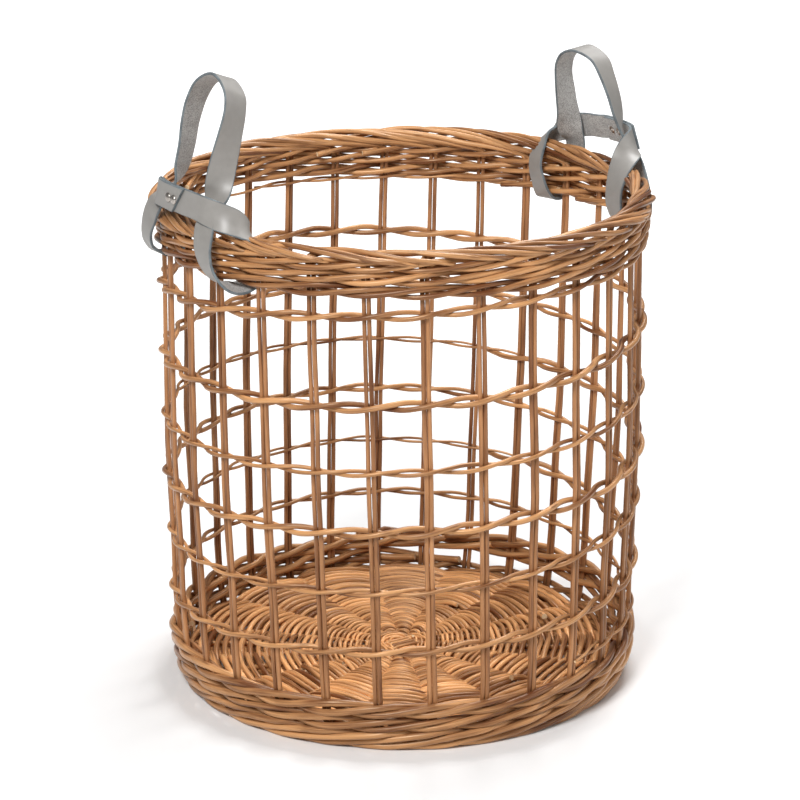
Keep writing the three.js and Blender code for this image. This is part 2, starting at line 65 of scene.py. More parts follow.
# The basket's own sizes, in metres. Angles are in degrees, counter-clockwise from +X.
basket = {
    "pairs": 28,
    "firstPair": -25.8,       # angle of the first pair, at leanHeight
    "lean": -6.0,             # degrees that a stake turns for each metre up
    "leanHeight": 0.2,
    "stakeRadius": 0.0022,
    "wallLine": ((0.010, 0.2125), (0.03, 0.2163), (0.05, 0.2187), (0.075, 0.2204), (0.135, 0.2214),
                 (0.235, 0.2247), (0.33, 0.2236), (0.466, 0.2224)),  # height, radius
    "footTop": 0.0485,
    "rimTop": 0.464,          # top of the upper wale
    "crestRadius": 0.223,
    "lowSide": -130.0,        # angle at which the border lies lowest
    "lowShare": 0.68,         # share of its height that it is lower there
}
pairStep = 360 / basket["pairs"]
up = Vector((0, 0, 1))


def polar(angle, radius, height=0.0):
    turn = math.radians(angle)
    return Vector((radius * math.cos(turn), radius * math.sin(turn), height))


def easeThrough(before, low, high, after, t):
    # Catmull-Rom curve from low to high
    return 0.5 * (2 * low + (high - before) * t + (2 * before - 5 * low + 4 * high - after) * t * t
                  + (3 * low - before - 3 * high + after) * t ** 3)


def blendPoints(points, place):
    # values between the points (place, value...) of a list
    last = len(points) - 1
    i = 0
    while i < last - 1 and place > points[i + 1][0]:
        i += 1
    t = (place - points[i][0]) / (points[i + 1][0] - points[i][0])
    t = min(max(t, 0.0), 1.0)
    near = points[max(i - 1, 0)], points[i], points[i + 1], points[min(i + 2, last)]
    return [easeThrough(*values, t) for values in zip(*(point[1:] for point in near))]


def smoothStep(low, high, value):
    t = min(max((value - low) / (high - low), 0.0), 1.0)
    return t * t * (3 - 2 * t)


def wallRadius(height):
    line = basket["wallLine"]
    i = 1
    while i < len(line) - 1 and height > line[i][0]:
        i += 1
    (lowHeight, lowRadius), (highHeight, highRadius) = line[i - 1], line[i]
    return lowRadius + (highRadius - lowRadius) * (height - lowHeight) / (highHeight - lowHeight)


def leanAt(height):
    return basket["lean"] * (height - basket["leanHeight"])


def pairAngle(index, height):
    return basket["firstPair"] + pairStep * index + leanAt(height)


def crestDrop(angle):
    # share by which the border is lower at an angle
    return basket["lowShare"] * (1 + math.cos(math.radians(angle - basket["lowSide"]))) / 2


def wander(seed, place, size):
    # smooth random shift along a rod, the same in each run
    return size * noise.noise(Vector((seed * 7.31, place, seed * 1.7)))


def linkObject(name, data):
    item = bpy.data.objects.new(name, data)
    bpy.context.scene.collection.objects.link(item)
    return item


def meshObject(name, bm, *materials):
    mesh = bpy.data.meshes.new(name)
    bm.to_mesh(mesh)
    bm.free()
    for material in materials:
        mesh.materials.append(material)
    return linkObject(name, mesh)


# Shader nodes

def setInputs(tree, node, inputs):
    # a socket is linked, and any other value is set
    for key, value in inputs.items():
        if isinstance(value, bpy.types.NodeSocket):
            tree.links.new(value, node.inputs[key])
        else:
            node.inputs[key].default_value = value


def addNode(tree, kind, inputs=None, **settings):
    node = tree.nodes.new(kind)
    for key, value in settings.items():
        setattr(node, key, value)
    setInputs(tree, node, inputs or {})
    return node


def noiseOf(tree, vector, scale, detail=2.0, rough=0.5):
    inputs = {"Vector": vector, "Scale": scale, "Detail": detail, "Roughness": rough}
    return addNode(tree, "ShaderNodeTexNoise", inputs).outputs["Fac"]


def stretchOf(tree, vector, scale):
    return addNode(tree, "ShaderNodeMapping", {"Vector": vector, "Scale": scale}).outputs["Vector"]


def spanOf(tree, value, low, high, toLow=0.0, toHigh=1.0):
    inputs = {"Value": value, "From Min": low, "From Max": high, "To Min": toLow, "To Max": toHigh}
    return addNode(tree, "ShaderNodeMapRange", inputs).outputs["Result"]


def mathOf(tree, operation, a, b):
    return addNode(tree, "ShaderNodeMath", {0: a, 1: b}, operation=operation).outputs["Value"]


def sumOf(tree, a, b):
    return mathOf(tree, "ADD", a, b)


def timesOf(tree, a, b):
    return mathOf(tree, "MULTIPLY", a, b)


def mixOf(tree, share, a, b):
    # inputs 6 and 7 are the two colours, and output 2 is their mix
    return addNode(tree, "ShaderNodeMix", {"Factor": share, 6: a, 7: b}, data_type="RGBA").outputs[2]


def attributeOf(tree, name):
    return addNode(tree, "ShaderNodeAttribute", attribute_name=name)


def newMaterial(name):
    material = bpy.data.materials.new(name)
    material.use_nodes = True
    tree = material.node_tree
    return material, tree, tree.nodes["Principled BSDF"]


# Camera, light and floor

view = {
    "place": (-1.3498, -2.1559, 1.081),
    "pitch": 0.31,            # radians below the horizon
    "heading": -32.0,
    "lens": 125.84,
    "sensor": 36.0,
}
studio = {
    "worldStrength": 0.19,
    "floorColor": (0.80, 0.80, 0.80, 1),
    "floorGlow": (0.5, 3.2, 0.0, 0.75),  # lifts the far floor to white for the camera: from, to, glow there
    "floorSize": 40.0,
    "softboxes": (            # name, place, size, power
        ("keyLight", (-2.3, -1.7, 3.0), 1.1, 140.0),
        ("topLight", (1.3, 0.9, 3.1), 1.6, 106.0),
        ("fillLight", (2.4, -2.6, 1.9), 2.2, 30.0),
    ),
    "aim": (0, 0, 0.25),      # where the softboxes point
}
white = (1, 1, 1, 1)


def makeCamera():
    data = bpy.data.cameras.new("photoCamera")
    data.sensor_width = view["sensor"]
    data.lens = view["lens"]
    camera = linkObject("photoCamera", data)
    camera.location = view["place"]
    camera.rotation_euler = (math.pi / 2 - view["pitch"], 0, math.radians(view["heading"]))
    bpy.context.scene.camera = camera


def makeSoftbox(name, place, size, power):
    data = bpy.data.lights.new(name, "AREA")
    data.shape = "SQUARE"
    data.size = size
    data.energy = power
    lamp = linkObject(name, data)
    lamp.location = place
    aim = Vector(studio["aim"]) - Vector(place)
    lamp.rotation_euler = aim.to_track_quat("-Z", "Y").to_euler()


def makeWorld():
    # the light is plain, and the backdrop that the camera sees is white
    world = bpy.data.worlds.new("studio")
    bpy.context.scene.world = world
    world.use_nodes = True
    tree = world.node_tree
    tree.nodes.clear()
    seen = addNode(tree, "ShaderNodeLightPath").outputs["Is Camera Ray"]
    light = addNode(tree, "ShaderNodeBackground", {"Color": white, "Strength": studio["worldStrength"]})
    backdrop = addNode(tree, "ShaderNodeBackground", {"Color": white, "Strength": 1.0})
    mix = addNode(tree, "ShaderNodeMixShader", {0: seen, 1: light.outputs[0], 2: backdrop.outputs[0]})
    addNode(tree, "ShaderNodeOutputWorld", {"Surface": mix.outputs[0]})


def makeFloor():
    bm = bmesh.new()
    bmesh.ops.create_grid(bm, x_segments=1, y_segments=1, size=studio["floorSize"] / 2)
    material, tree, shader = newMaterial("floorPaper")
    space = addNode(tree, "ShaderNodeTexCoord").outputs["Object"]
    reach = addNode(tree, "ShaderNodeVectorMath", {0: space}, operation="LENGTH").outputs["Value"]
    seen = addNode(tree, "ShaderNodeLightPath").outputs["Is Camera Ray"]
    glow = timesOf(tree, spanOf(tree, reach, *studio["floorGlow"]), seen)
    setInputs(tree, shader, {"Base Color": studio["floorColor"], "Roughness": 1.0, "Specular IOR Level": 0.0,
                             "Emission Color": white, "Emission Strength": glow})
    meshObject("studioFloor", bm, material)


makeCamera()
makeWorld()
makeFloor()
for softbox in studio["softboxes"]:
    makeSoftbox(*softbox)
bpy.context.scene.view_settings.view_transform = "Standard"
print("basket: camera, light and floor")


# Materials

def newGroup(name, inputs):
    # a grain: its colour, roughness and height come from the given inputs
    tree = bpy.data.node_groups.new(name, "ShaderNodeTree")
    for label, value in inputs.items():
        kind = "NodeSocketColor" if isinstance(value, tuple) else "NodeSocketFloat"
        tree.interface.new_socket(name=label, in_out="INPUT", socket_type=kind).default_value = value
    for label, kind in (("Color", "Color"), ("Roughness", "Float"), ("Height", "Float")):
        tree.interface.new_socket(name=label, in_out="OUTPUT", socket_type="NodeSocket" + kind)
    return tree, tree.nodes.new("NodeGroupInput").outputs


def endGroup(tree, color, rough, height):
    addNode(tree, "NodeGroupOutput", {"Color": color, "Roughness": rough, "Height": height})
    return tree


willowGrain = {               # scales are along a rod, then twice across it
    "streaks": (22, 1050, 1050),
    "patches": (11, 75, 75),
    "specks": (420, 1500, 1500),
    "buds": (24, 130, 130),
    "scarEdge": (0.07, 0.19),
    "fleckEdge": (0.66, 0.76),
    "patchShare": 0.62,       # of the shade
    "streakShare": 0.38,
    "contrast": 2.6,
    "darkness": 0.92,         # share of the dark colour in a rod without tint
    "fleckColor": (0.12, 0.045, 0.018, 1),
    "fleckStrength": 0.45,
    "scarColor": (0.16, 0.06, 0.025, 1),
    "scarStrength": 0.7,
    "rough": (0.24, 0.25),    # least roughness, and the streaks' share
    "relief": (0.6, 1.1),     # height of streaks and of bud scars
}


def makeWillowGroup():
    # bark-free willow: fine lengthwise streaks, broad patches, bud scars and a tint for each rod
    look = willowGrain
    tree, given = newGroup("willowGrain", {
        "Light": (0.6, 0.35, 0.16, 1), "Dark": (0.35, 0.15, 0.06, 1), "Spread": 1.0, "Scars": 1.0})
    space = attributeOf(tree, "rodSpace").outputs["Vector"]
    tint = attributeOf(tree, "rodTint").outputs["Fac"]
    streaks = noiseOf(tree, stretchOf(tree, space, look["streaks"]), 1.0, 3.0, 0.6)
    patches = noiseOf(tree, stretchOf(tree, space, look["patches"]), 1.0, 3.0, 0.55)
    specks = noiseOf(tree, stretchOf(tree, space, look["specks"]), 1.0)
    buds = addNode(tree, "ShaderNodeTexVoronoi", {"Vector": stretchOf(tree, space, look["buds"]), "Scale": 1.0})
    scar = timesOf(tree, spanOf(tree, buds.outputs["Distance"], *look["scarEdge"], 1.0, 0.0), given["Scars"])
    fleck = spanOf(tree, specks, *look["fleckEdge"])
    # lightness along the rod: patches and streaks together, wider apart with Spread
    shade = sumOf(tree, timesOf(tree, patches, look["patchShare"]), timesOf(tree, streaks, look["streakShare"]))
    shade = timesOf(tree, mathOf(tree, "SUBTRACT", shade, 0.5), given["Spread"])
    shade = timesOf(tree, shade, look["contrast"])
    shade = sumOf(tree, shade, mathOf(tree, "SUBTRACT", look["darkness"], tint))
    body = mixOf(tree, spanOf(tree, shade, 0.0, 1.0), given["Light"], given["Dark"])
    body = mixOf(tree, timesOf(tree, fleck, look["fleckStrength"]), body, look["fleckColor"])
    body = mixOf(tree, timesOf(tree, scar, look["scarStrength"]), body, look["scarColor"])
    least, more = look["rough"]
    fine, deep = look["relief"]
    return endGroup(tree, body, sumOf(tree, timesOf(tree, streaks, more), least),
                    sumOf(tree, timesOf(tree, streaks, fine), timesOf(tree, scar, deep)))


leatherGrain = {
    "pebbles": 1500.0,
    "mottle": 95.0,
    "fibres": 2600.0,
    "creases": (190, 22, 22), # along the strap, then twice across it
    "nap": 1250.0,
    "napDepth": 0.42,
    "rubEdge": (0.0108, 0.0124),  # from the strap's middle line
    "rubColor": (0.12, 0.125, 0.13, 1),
    "rubStrength": 0.35,
    "mottleShare": 0.75,
    "fibreShare": 0.35,
    "rough": (0.34, 0.2),     # least roughness, and the mottling's share
    "relief": (0.8, 0.25),    # height of creases and of fibres
}


def makeLeatherGroup():
    # strap leather: pebbled grain, faint mottling, creases across the strap and rubbed edges
    look = leatherGrain
    tree, given = newGroup("leatherGrain", {
        "Base": (0.4, 0.38, 0.35, 1), "Deep": (0.3, 0.28, 0.26, 1), "Pebble": 1.0, "Nap": 0.0, "Edge": 1.0})
    space = attributeOf(tree, "strapSpace").outputs["Vector"]
    place = addNode(tree, "ShaderNodeSeparateXYZ", {"Vector": space})
    pebbles = addNode(tree, "ShaderNodeTexVoronoi", {"Vector": space, "Scale": look["pebbles"]}, feature="SMOOTH_F1")
    mottle = noiseOf(tree, space, look["mottle"], 4.0, 0.6)
    fibres = noiseOf(tree, space, look["fibres"], 3.0, 0.7)
    creases = noiseOf(tree, stretchOf(tree, space, look["creases"]), 1.0, 3.0, 0.6)
    rub = spanOf(tree, mathOf(tree, "ABSOLUTE", place.outputs["Y"], 0.0), *look["rubEdge"])
    rub = timesOf(tree, rub, given["Edge"])
    nap = noiseOf(tree, space, look["nap"], 2.0, 0.6)
    nap = spanOf(tree, nap, 0.36, 0.64, -look["napDepth"], look["napDepth"])
    shade = sumOf(tree, timesOf(tree, mottle, look["mottleShare"]), timesOf(tree, fibres, look["fibreShare"]))
    shade = sumOf(tree, shade, timesOf(tree, nap, given["Nap"]))
    body = mixOf(tree, spanOf(tree, shade, 0.35, 0.75), given["Deep"], given["Base"])
    body = mixOf(tree, timesOf(tree, rub, look["rubStrength"]), body, look["rubColor"])
    least, more = look["rough"]
    fold, fine = look["relief"]
    height = sumOf(tree, timesOf(tree, pebbles.outputs["Distance"], given["Pebble"]), timesOf(tree, creases, fold))
    return endGroup(tree, body, sumOf(tree, timesOf(tree, mottle, more), least),
                    sumOf(tree, height, timesOf(tree, fibres, fine)))


willowGroup = makeWillowGroup()
leatherGroup = makeLeatherGroup()
coatRoughness = 0.28
warmGloss = (1.0, 0.80, 0.55, 1)
willow = {"group": willowGroup, "bump": 0.6, "depth": 0.0005, "gloss": warmGloss}
leather = {"group": leatherGroup, "bump": 0.6, "depth": 0.0003}
finishes = {                  # bump and depth of the grain, and the shader's own values
    "willowRod": {**willow, "coat": 0.14, "grain": {
        "Light": (0.61, 0.312, 0.132, 1), "Dark": (0.130, 0.040, 0.013, 1), "Spread": 1.55, "Scars": 1.0}},
    "willowStake": {**willow, "bump": 0.55, "coat": 0.1, "grain": {
        "Light": (0.49, 0.232, 0.100, 1), "Dark": (0.130, 0.042, 0.015, 1), "Spread": 1.3, "Scars": 0.8}},
    "willowBorder": {**willow, "coat": 0.16, "grain": {
        "Light": (0.57, 0.292, 0.125, 1), "Dark": (0.120, 0.037, 0.012, 1), "Spread": 1.65, "Scars": 0.9}},
    # the base's willow colour with painted light: its Light colour is much paler than the other rods' so that the
    # base inside reads as brightly lit
    "willowBaseWithPaintedLight": {**willow, "coat": 0.1, "grain": {
        "Light": (0.90, 0.46, 0.190, 1), "Dark": (0.170, 0.054, 0.016, 1), "Spread": 1.6, "Scars": 1.0}},
    "willowCutEnd": {**willow, "roughness": 0.8, "gloss": white, "grain": {
        "Light": (0.90, 0.70, 0.44, 1), "Dark": (0.58, 0.36, 0.18, 1), "Spread": 1.0, "Scars": 0.0}},
    "leatherSmooth": {**leather, "bump": 0.35, "depth": 0.00012, "coat": 0.1, "grain": {
        "Base": (0.280, 0.266, 0.248, 1), "Deep": (0.240, 0.228, 0.212, 1), "Pebble": 0.5, "Edge": 1.0}},
    "leatherSuede": {**leather, "roughness": 0.9, "sheen": 0.3, "grain": {
        "Base": (0.44, 0.43, 0.412, 1), "Deep": (0.235, 0.228, 0.218, 1), "Pebble": 0.2, "Nap": 1.0, "Edge": 0.6}},
    "leatherEdge": {**leather, "roughness": 0.75, "grain": {
        "Base": (0.20, 0.235, 0.25, 1), "Deep": (0.07, 0.08, 0.088, 1), "Pebble": 0.3, "Edge": 0.0}},
}


def makeFinish(name, group, grain, bump, depth, roughness=None, coat=0.0, sheen=0.0, gloss=white):
    # the grain sets the roughness where none is given
    material, tree, shader = newMaterial(name)
    node = addNode(tree, "ShaderNodeGroup", node_tree=group)
    setInputs(tree, node, grain)
    relief = addNode(tree, "ShaderNodeBump", {"Strength": bump, "Distance": depth, "Height": node.outputs["Height"]})
    setInputs(tree, shader, {
        "Base Color": node.outputs["Color"], "Normal": relief.outputs["Normal"],
        "Roughness": node.outputs["Roughness"] if roughness is None else roughness,
        "Coat Weight": coat, "Coat Roughness": coatRoughness, "Sheen Weight": sheen, "Specular Tint": gloss})
    return material


finish = {name: makeFinish(name, **look) for name, look in finishes.items()}
nickel = {
    "wear": 900.0,
    "colors": ((0.34, 0.31, 0.28, 1), (0.66, 0.61, 0.56, 1)),
    "roughness": (0.2, 0.42),
    "bump": 0.25,
    "depth": 0.0001,
}


def makeNickel():
    material, tree, shader = newMaterial("rivetNickel")
    wear = noiseOf(tree, addNode(tree, "ShaderNodeTexCoord").outputs["Object"], nickel["wear"], 4.0, 0.6)
    relief = addNode(tree, "ShaderNodeBump", {
        "Strength": nickel["bump"], "Distance": nickel["depth"], "Height": wear})
    setInputs(tree, shader, {
        "Base Color": mixOf(tree, spanOf(tree, wear, 0.35, 0.7), *nickel["colors"]),
        "Roughness": spanOf(tree, wear, 0.2, 0.8, *nickel["roughness"]),
        "Normal": relief.outputs["Normal"], "Metallic": 1.0})
    return material


nickelMaterial = makeNickel()
print("basket: materials")


# Rods

rodSettings = {
    "uneven": 0.07,           # share by which a rod's thickness wanders
    "unevenPace": 14,
    "mergeGap": 1e-7,
}


def rodObject(points, radii, sides, offset, tint):
    # one willow rod, bent through its points, with the attributes that its grain is read from
    curve = bpy.data.curves.new("rod", "CURVE")
    curve.dimensions = "3D"
    curve.bevel_depth = 1.0
    curve.bevel_resolution = sides // 2 - 2
    curve.use_fill_caps = True
    spline = curve.splines.new("POLY")
    spline.points.add(len(points) - 1)
    for place, point, radius in zip(spline.points, points, radii):
        place.co = (*point, 1)
        place.radius = radius
    holder = bpy.data.objects.new("rod", curve)
    mesh = bpy.data.meshes.new_from_object(holder)
    bpy.data.objects.remove(holder)
    bpy.data.curves.remove(curve)
    along = [0.0]
    for a, b in zip(points, points[1:]):
        along.append(along[-1] + (b - a).length)
    # the caps' vertices come first, then the rings
    rings = [len(points) - 1] * sides + [0] * sides
    for i in range(len(points)):
        rings += [i] * sides
    places = []
    for i, ring in enumerate(rings):
        turn = 2 * math.pi * (i % sides) / sides
        places += [offset + along[ring], radii[ring] * math.cos(turn) + offset, radii[ring] * math.sin(turn)]
    mesh.attributes.new("rodSpace", "FLOAT_VECTOR", "POINT").data.foreach_set("vector", places)
    mesh.attributes.new("rodTint", "FLOAT", "POINT").data.foreach_set("value", [tint] * len(rings))
    for face in mesh.polygons:
        isCap = min(face.vertices) < 2 * sides
        face.use_smooth = not isCap
        face.material_index = int(isCap)
    return linkObject("rod", mesh)


def joinRods(name, rods, material, node):
    # the rods of one piece in one mesh, with their ends closed
    for item in bpy.context.selected_objects:
        item.select_set(False)
    for rod in rods:
        rod.data.materials.append(material)
        rod.data.materials.append(finish["willowCutEnd"])
        rod.select_set(True)
    piece = rods[0]
    bpy.context.view_layer.objects.active = piece
    if len(rods) > 1:
        bpy.ops.object.join()
    piece.name = piece.data.name = name
    bm = bmesh.new()
    bm.from_mesh(piece.data)
    bmesh.ops.remove_doubles(bm, verts=bm.verts, dist=rodSettings["mergeGap"])
    bm.to_mesh(piece.data)
    bm.free()
    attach(piece, "basket")
    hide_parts(node)


def rodRadii(count, butt, tip, seed, length):
    # tapered from butt to tip, and a little uneven
    radii = []
    for i in range(count):
        share = i / max(count - 1, 1)
        own = wander(seed, share * length * rodSettings["unevenPace"], rodSettings["uneven"])
        radii.append((butt + (tip - butt) * share) * (1 + own))
    return radii


# Side stakes

stakes = {
    "spread": 0.0043,         # between the middles of the two rods of a pair
    "spreadMore": (1.0, 1.1),
    "bottom": 0.0105,
    "top": 0.463,
    "length": 0.46,
    "steps": 34,
    "sides": 10,
    "sizes": (0.94, 1.07),    # least and most of a rod's radius
    "taper": 0.92,            # of the radius, from bottom to top
    "wobble": 0.0009,
    "gapWobble": 0.0004,
    "twist": 0.0002,          # most that a rod lies out from the pair's line
    "tints": (0.28, 0.62),
}


def makeStakePair(index):
    dice = random.Random(100 + index)
    rods = []
    apart = stakes["spread"] * dice.uniform(*stakes["spreadMore"])
    for side in (-1, 1):
        seed = index * 2 + side * 0.5 + 40
        radius = basket["stakeRadius"] * dice.uniform(*stakes["sizes"])
        twist = side * dice.uniform(-stakes["twist"], stakes["twist"])
        points = []
        for i in range(stakes["steps"] + 1):
            share = i / stakes["steps"]
            height = stakes["bottom"] + share * (stakes["top"] - stakes["bottom"])
            angle = pairAngle(index, height)
            gap = apart / 2 + wander(seed, share * 5, stakes["gapWobble"])
            across = polar(angle + 90, side * gap + wander(index + 9, share * 6, stakes["wobble"]))
            out = wander(seed + 3, share * 6, stakes["wobble"]) + twist
            points.append(polar(angle, wallRadius(height) + out, height) + across)
        radii = rodRadii(len(points), radius, radius * stakes["taper"], seed, stakes["length"])
        rods.append(rodObject(points, radii, stakes["sides"], seed * 0.37, dice.uniform(*stakes["tints"])))
    number = "%02d" % (index + 1)
    joinRods("stakeRods_" + number, rods, finish["willowStake"], "stake_pair_" + number)


for index in range(basket["pairs"]):
    makeStakePair(index)
print("basket: side stakes")


# Waling: rods that each pass in front of all but one of the stakes of their step, then behind one

waling = {
    "crossing": 0.06,         # share of the pitch that a rod rises further where it crosses the others
    "climbFrom": 0.72,        # share of a round that lies level before it climbs to the next
    "lastClimb": 0.45,        # share of a round that the last climb leaves out
    "floorGap": 1.05,         # least height of a rod's middle, in its radii
    "behind": (0.7, 0.45),    # pairs before its end over which a rod goes behind the wall
    "inside": (0.8, 1.1),     # pairs before its end from which it lies further in, and how far, in rods
    "overrun": 0.35,          # pairs that a rod runs on past each end of its stretch
    "leftOver": 0.6,          # pairs at the end of a strand that are too few for a rod
    "pairLength": 0.05,       # of a rod, from pair to pair
    "sizes": (0.93, 1.07),
    "taper": (1.04, 0.94),
    "tints": (0.2, 0.78),
    "stepsPerPair": 9,
    "sides": 10,
}


def walingPath(count):
    # way out (1 in front of the stakes, -1 behind one) and up, by pairs since the rod came out in front
    out = ((-0.5, -1.0), (0.0, 0.12), (0.5, 1.0), (1.0, 1.08), (count - 2.0, 1.08), (count - 1.5, 1.0),
           (count - 1.0, 0.12), (count - 0.5, -1.0), (count, 0.12), (count + 0.5, 1.0))
    lift = ((-0.5, 0.0), (0.0, -1.0), (0.5, -1.0), (count - 1.5, 1.0), (count - 1.0, 1.0),
            (count - 0.5, 0.0), (count, -1.0), (count + 0.5, -1.0))
    return out, lift


def walingRod(wale, strand, start, end, radius, seed):
    # start and end count stake pairs; the pairs stand at the halves
    outAt, liftAt = walingPath(wale["rods"])
    rise = wale["pitch"] * (wale["rods"] - 2) / 2 + waling["crossing"] * wale["pitch"]
    front = basket["stakeRadius"] + radius
    insideFrom, insideBy = waling["inside"]
    behindFrom, behindTo = waling["behind"]
    points = []
    for i in range(round((end - start) * waling["stepsPerPair"]) + 1):
        place = start + i / waling["stepsPerPair"]
        along = (place - strand) % wale["rods"]
        out = blendPoints(outAt, along)[0]
        # each round lies level and climbs to the next at one place
        turned = place / basket["pairs"]
        level = math.floor(turned) + smoothStep(waling["climbFrom"], 1.0, turned - math.floor(turned))
        level = min(level, wale["rounds"] - waling["lastClimb"])
        height = (wale["height"] + wale["climb"] * level + blendPoints(liftAt, along)[0] * rise
                  + wander(seed, place * 0.7, wale["unevenHeight"]))
        height = max(height, radius * waling["floorGap"])
        share = min(max((height - wale["low"]) / (wale["high"] - wale["low"]), 0.0), 1.0)
        reach = wale["reachLow"] + (wale["reachHigh"] - wale["reachLow"]) * share
        out += (-1.0 - out) * smoothStep(end - behindFrom, end - behindTo, place)
        shift = out * front * reach + wander(seed + 5, place * 0.8, wale["unevenOut"])
        shift -= front * insideBy * smoothStep(end - insideFrom, end, place)
        shift += wale["bulge"] * smoothStep(0.0, 1.0, out)
        angle = basket["firstPair"] + pairStep * (place - 0.5 + wale["startPair"]) + leanAt(height)
        points.append(polar(angle, wallRadius(height) + shift, height))
    return points


def makeWale(name, wales, node, seedBase):
    rods = []
    overrun = waling["overrun"]
    thick, thin = waling["taper"]
    for number, wale in enumerate(wales):
        dice = random.Random(seedBase + number)
        for strand in range(wale["rods"]):
            start = float(strand)
            finishAt = wale["rounds"] * basket["pairs"] + strand
            while start < finishAt - waling["leftOver"]:
                seed = seedBase + number * 50 + len(rods) * 1.3
                passes = wale["rodPairs"] + dice.randint(-1, 2)
                # a rod starts and ends behind a pair
                end = strand + wale["rods"] * round((start - strand + passes) / wale["rods"]) - overrun
                end = min(end, finishAt - overrun)
                radius = wale["radius"] * dice.uniform(*waling["sizes"])
                # its cut end is left lying on the inside
                points = walingRod(wale, strand, start - overrun, end + overrun, radius, seed)
                length = (end - start) * waling["pairLength"]
                radii = rodRadii(len(points), radius * thick, radius * thin, seed, length)
                rods.append(rodObject(points, radii, waling["sides"], seed * 0.61, dice.uniform(*waling["tints"])))
                start = end + overrun
    joinRods(name, rods, finish["willowRod"], node)
    return len(rods)


# pitch: between the rods of a round; climb: from round to round; reach: how far out the rods lie, from low to
# high; bulge: how much further out in front; rodPairs: about how many pairs a rod passes
footWales = (
    {   # the first round, with four rods: three of them show on the outside
        "rods": 4, "rounds": 1, "pitch": 0.0068, "height": 0.0101, "climb": 0.0, "radius": 0.0032,
        "low": 0.003, "high": 0.017, "reachLow": 0.35, "reachHigh": 1.02, "bulge": 0.0003,
        "startPair": 9, "rodPairs": 20,
        "unevenHeight": 0.0016, "unevenOut": 0.0012,
    },
    {
        "rods": 3, "rounds": 2, "pitch": 0.0070, "height": 0.0270, "climb": 0.0141, "radius": 0.0032,
        "low": 0.02, "high": 0.048, "reachLow": 1.05, "reachHigh": 0.9, "bulge": 0.0002,
        "startPair": 6, "rodPairs": 18,
        "unevenHeight": 0.0019, "unevenOut": 0.0014,
    },
)
rimWales = (
    {
        "rods": 3, "rounds": 3, "pitch": 0.0057, "height": 0.4357, "climb": 0.0114, "radius": 0.00255,
        "low": 0.431, "high": 0.462, "reachLow": 0.95, "reachHigh": 1.22, "bulge": 0.0009,
        "startPair": 12, "rodPairs": 19,
        "unevenHeight": 0.0019, "unevenOut": 0.0018,
    },
)
print("basket: foot,", makeWale("bottomWaleRods", footWales, "bottom_wale", 200), "rods")
print("basket: upper wale,", makeWale("rimWaleRods", rimWales, "rim_wale", 300), "rods")


# Rolled border: the stakes' own tops, bent over behind their neighbours and laid down outside

border = {
    # place, pairs passed, distance out from the crest's middle, height over the upper wale
    "route": ((0.00, 0.00, -0.0006, -0.008), (0.10, 0.04, -0.0010, -0.001), (0.45, 0.38, -0.0058, 0.0042),
              (1.00, 1.00, -0.0079, 0.0088), (1.60, 1.60, -0.0073, 0.0132), (2.20, 2.20, -0.0040, 0.0166),
              (2.80, 2.80, 0.0009, 0.0174), (3.40, 3.40, 0.0056, 0.0145), (4.00, 4.00, 0.0088, 0.0092),
              (4.60, 4.60, 0.0100, 0.0030), (5.20, 5.20, 0.0082, -0.0020), (5.60, 5.60, 0.0030, -0.0040)),
    "second": 0.46,           # how far the pair's second rod lies behind the first
    "secondFrom": (0.1, 0.9), # places between which it falls behind
    "ends": (5.1, 5.6),
    "shorter": 0.42,          # how much sooner a rod is laid down where the border is low
    "sink": (0.2, 1.2),       # places between which a rod sinks there
    "close": (0.1, 0.6),      # places between which the pair's rods come together
    "loosen": (0.3, 1.4),     # places between which they start to lie unevenly
    "length": 0.24,
    "steps": 56,
    "sides": 10,
    "radius": 0.0022,
    "sizes": (0.88, 1.2),
    "taper": 0.9,
    "tipFrom": 0.86,          # share of a rod from which its tip thins further
    "tipThin": 0.45,
    "uneven": 0.0033,
    "unevenPace": 0.3,
    "tints": (0.1, 0.85),
}


def makeBorder():
    rods = []
    dice = random.Random(400)
    for index in range(basket["pairs"]):
        for member in (0, 1):
            seed = 400 + index * 2 + member
            last = dice.uniform(*border["ends"])
            radius = border["radius"] * dice.uniform(*border["sizes"])
            own = dice.uniform(-1, 1) * border["unevenPace"]
            startAngle = pairAngle(index, basket["rimTop"])
            points = []
            for i in range(border["steps"] + 1):
                place = last * i / border["steps"]
                passed, out, rise = blendPoints(border["route"], place)
                passed *= 1 - border["shorter"] * crestDrop(startAngle + pairStep * passed / 2) / basket["lowShare"]
                passed += (border["second"] * member + own) * smoothStep(*border["secondFrom"], place)
                angle = startAngle + pairStep * passed
                lower = crestDrop(angle)
                if rise > 0:
                    rise *= 1 - lower * smoothStep(*border["sink"], place)
                height = basket["rimTop"] + rise
                ease = smoothStep(*border["loosen"], place)
                out += ease * wander(seed, place * 0.8, border["uneven"])
                height += ease * wander(seed + 3, place * 0.8, border["uneven"] * (1 - lower))
                side = (member - 0.5) * stakes["spread"] * (1 - smoothStep(*border["close"], place))
                points.append(polar(angle, basket["crestRadius"] + out, height) + polar(angle + 90, side))
            radii = rodRadii(len(points), radius, radius * border["taper"], seed, border["length"])
            radii = [each * (1 - border["tipThin"] * smoothStep(border["tipFrom"], 1, i / border["steps"]))
                     for i, each in enumerate(radii)]
            rods.append(rodObject(points, radii, border["sides"], seed * 0.43, dice.uniform(*border["tints"])))
    joinRods("rolledBorderRods", rods, finish["willowBorder"], "rolled_border")
    return len(rods)


print("basket: rolled border,", makeBorder(), "rods")


# Base: two crossed bundles of four sticks that open into sixteen spokes, woven round in pairs

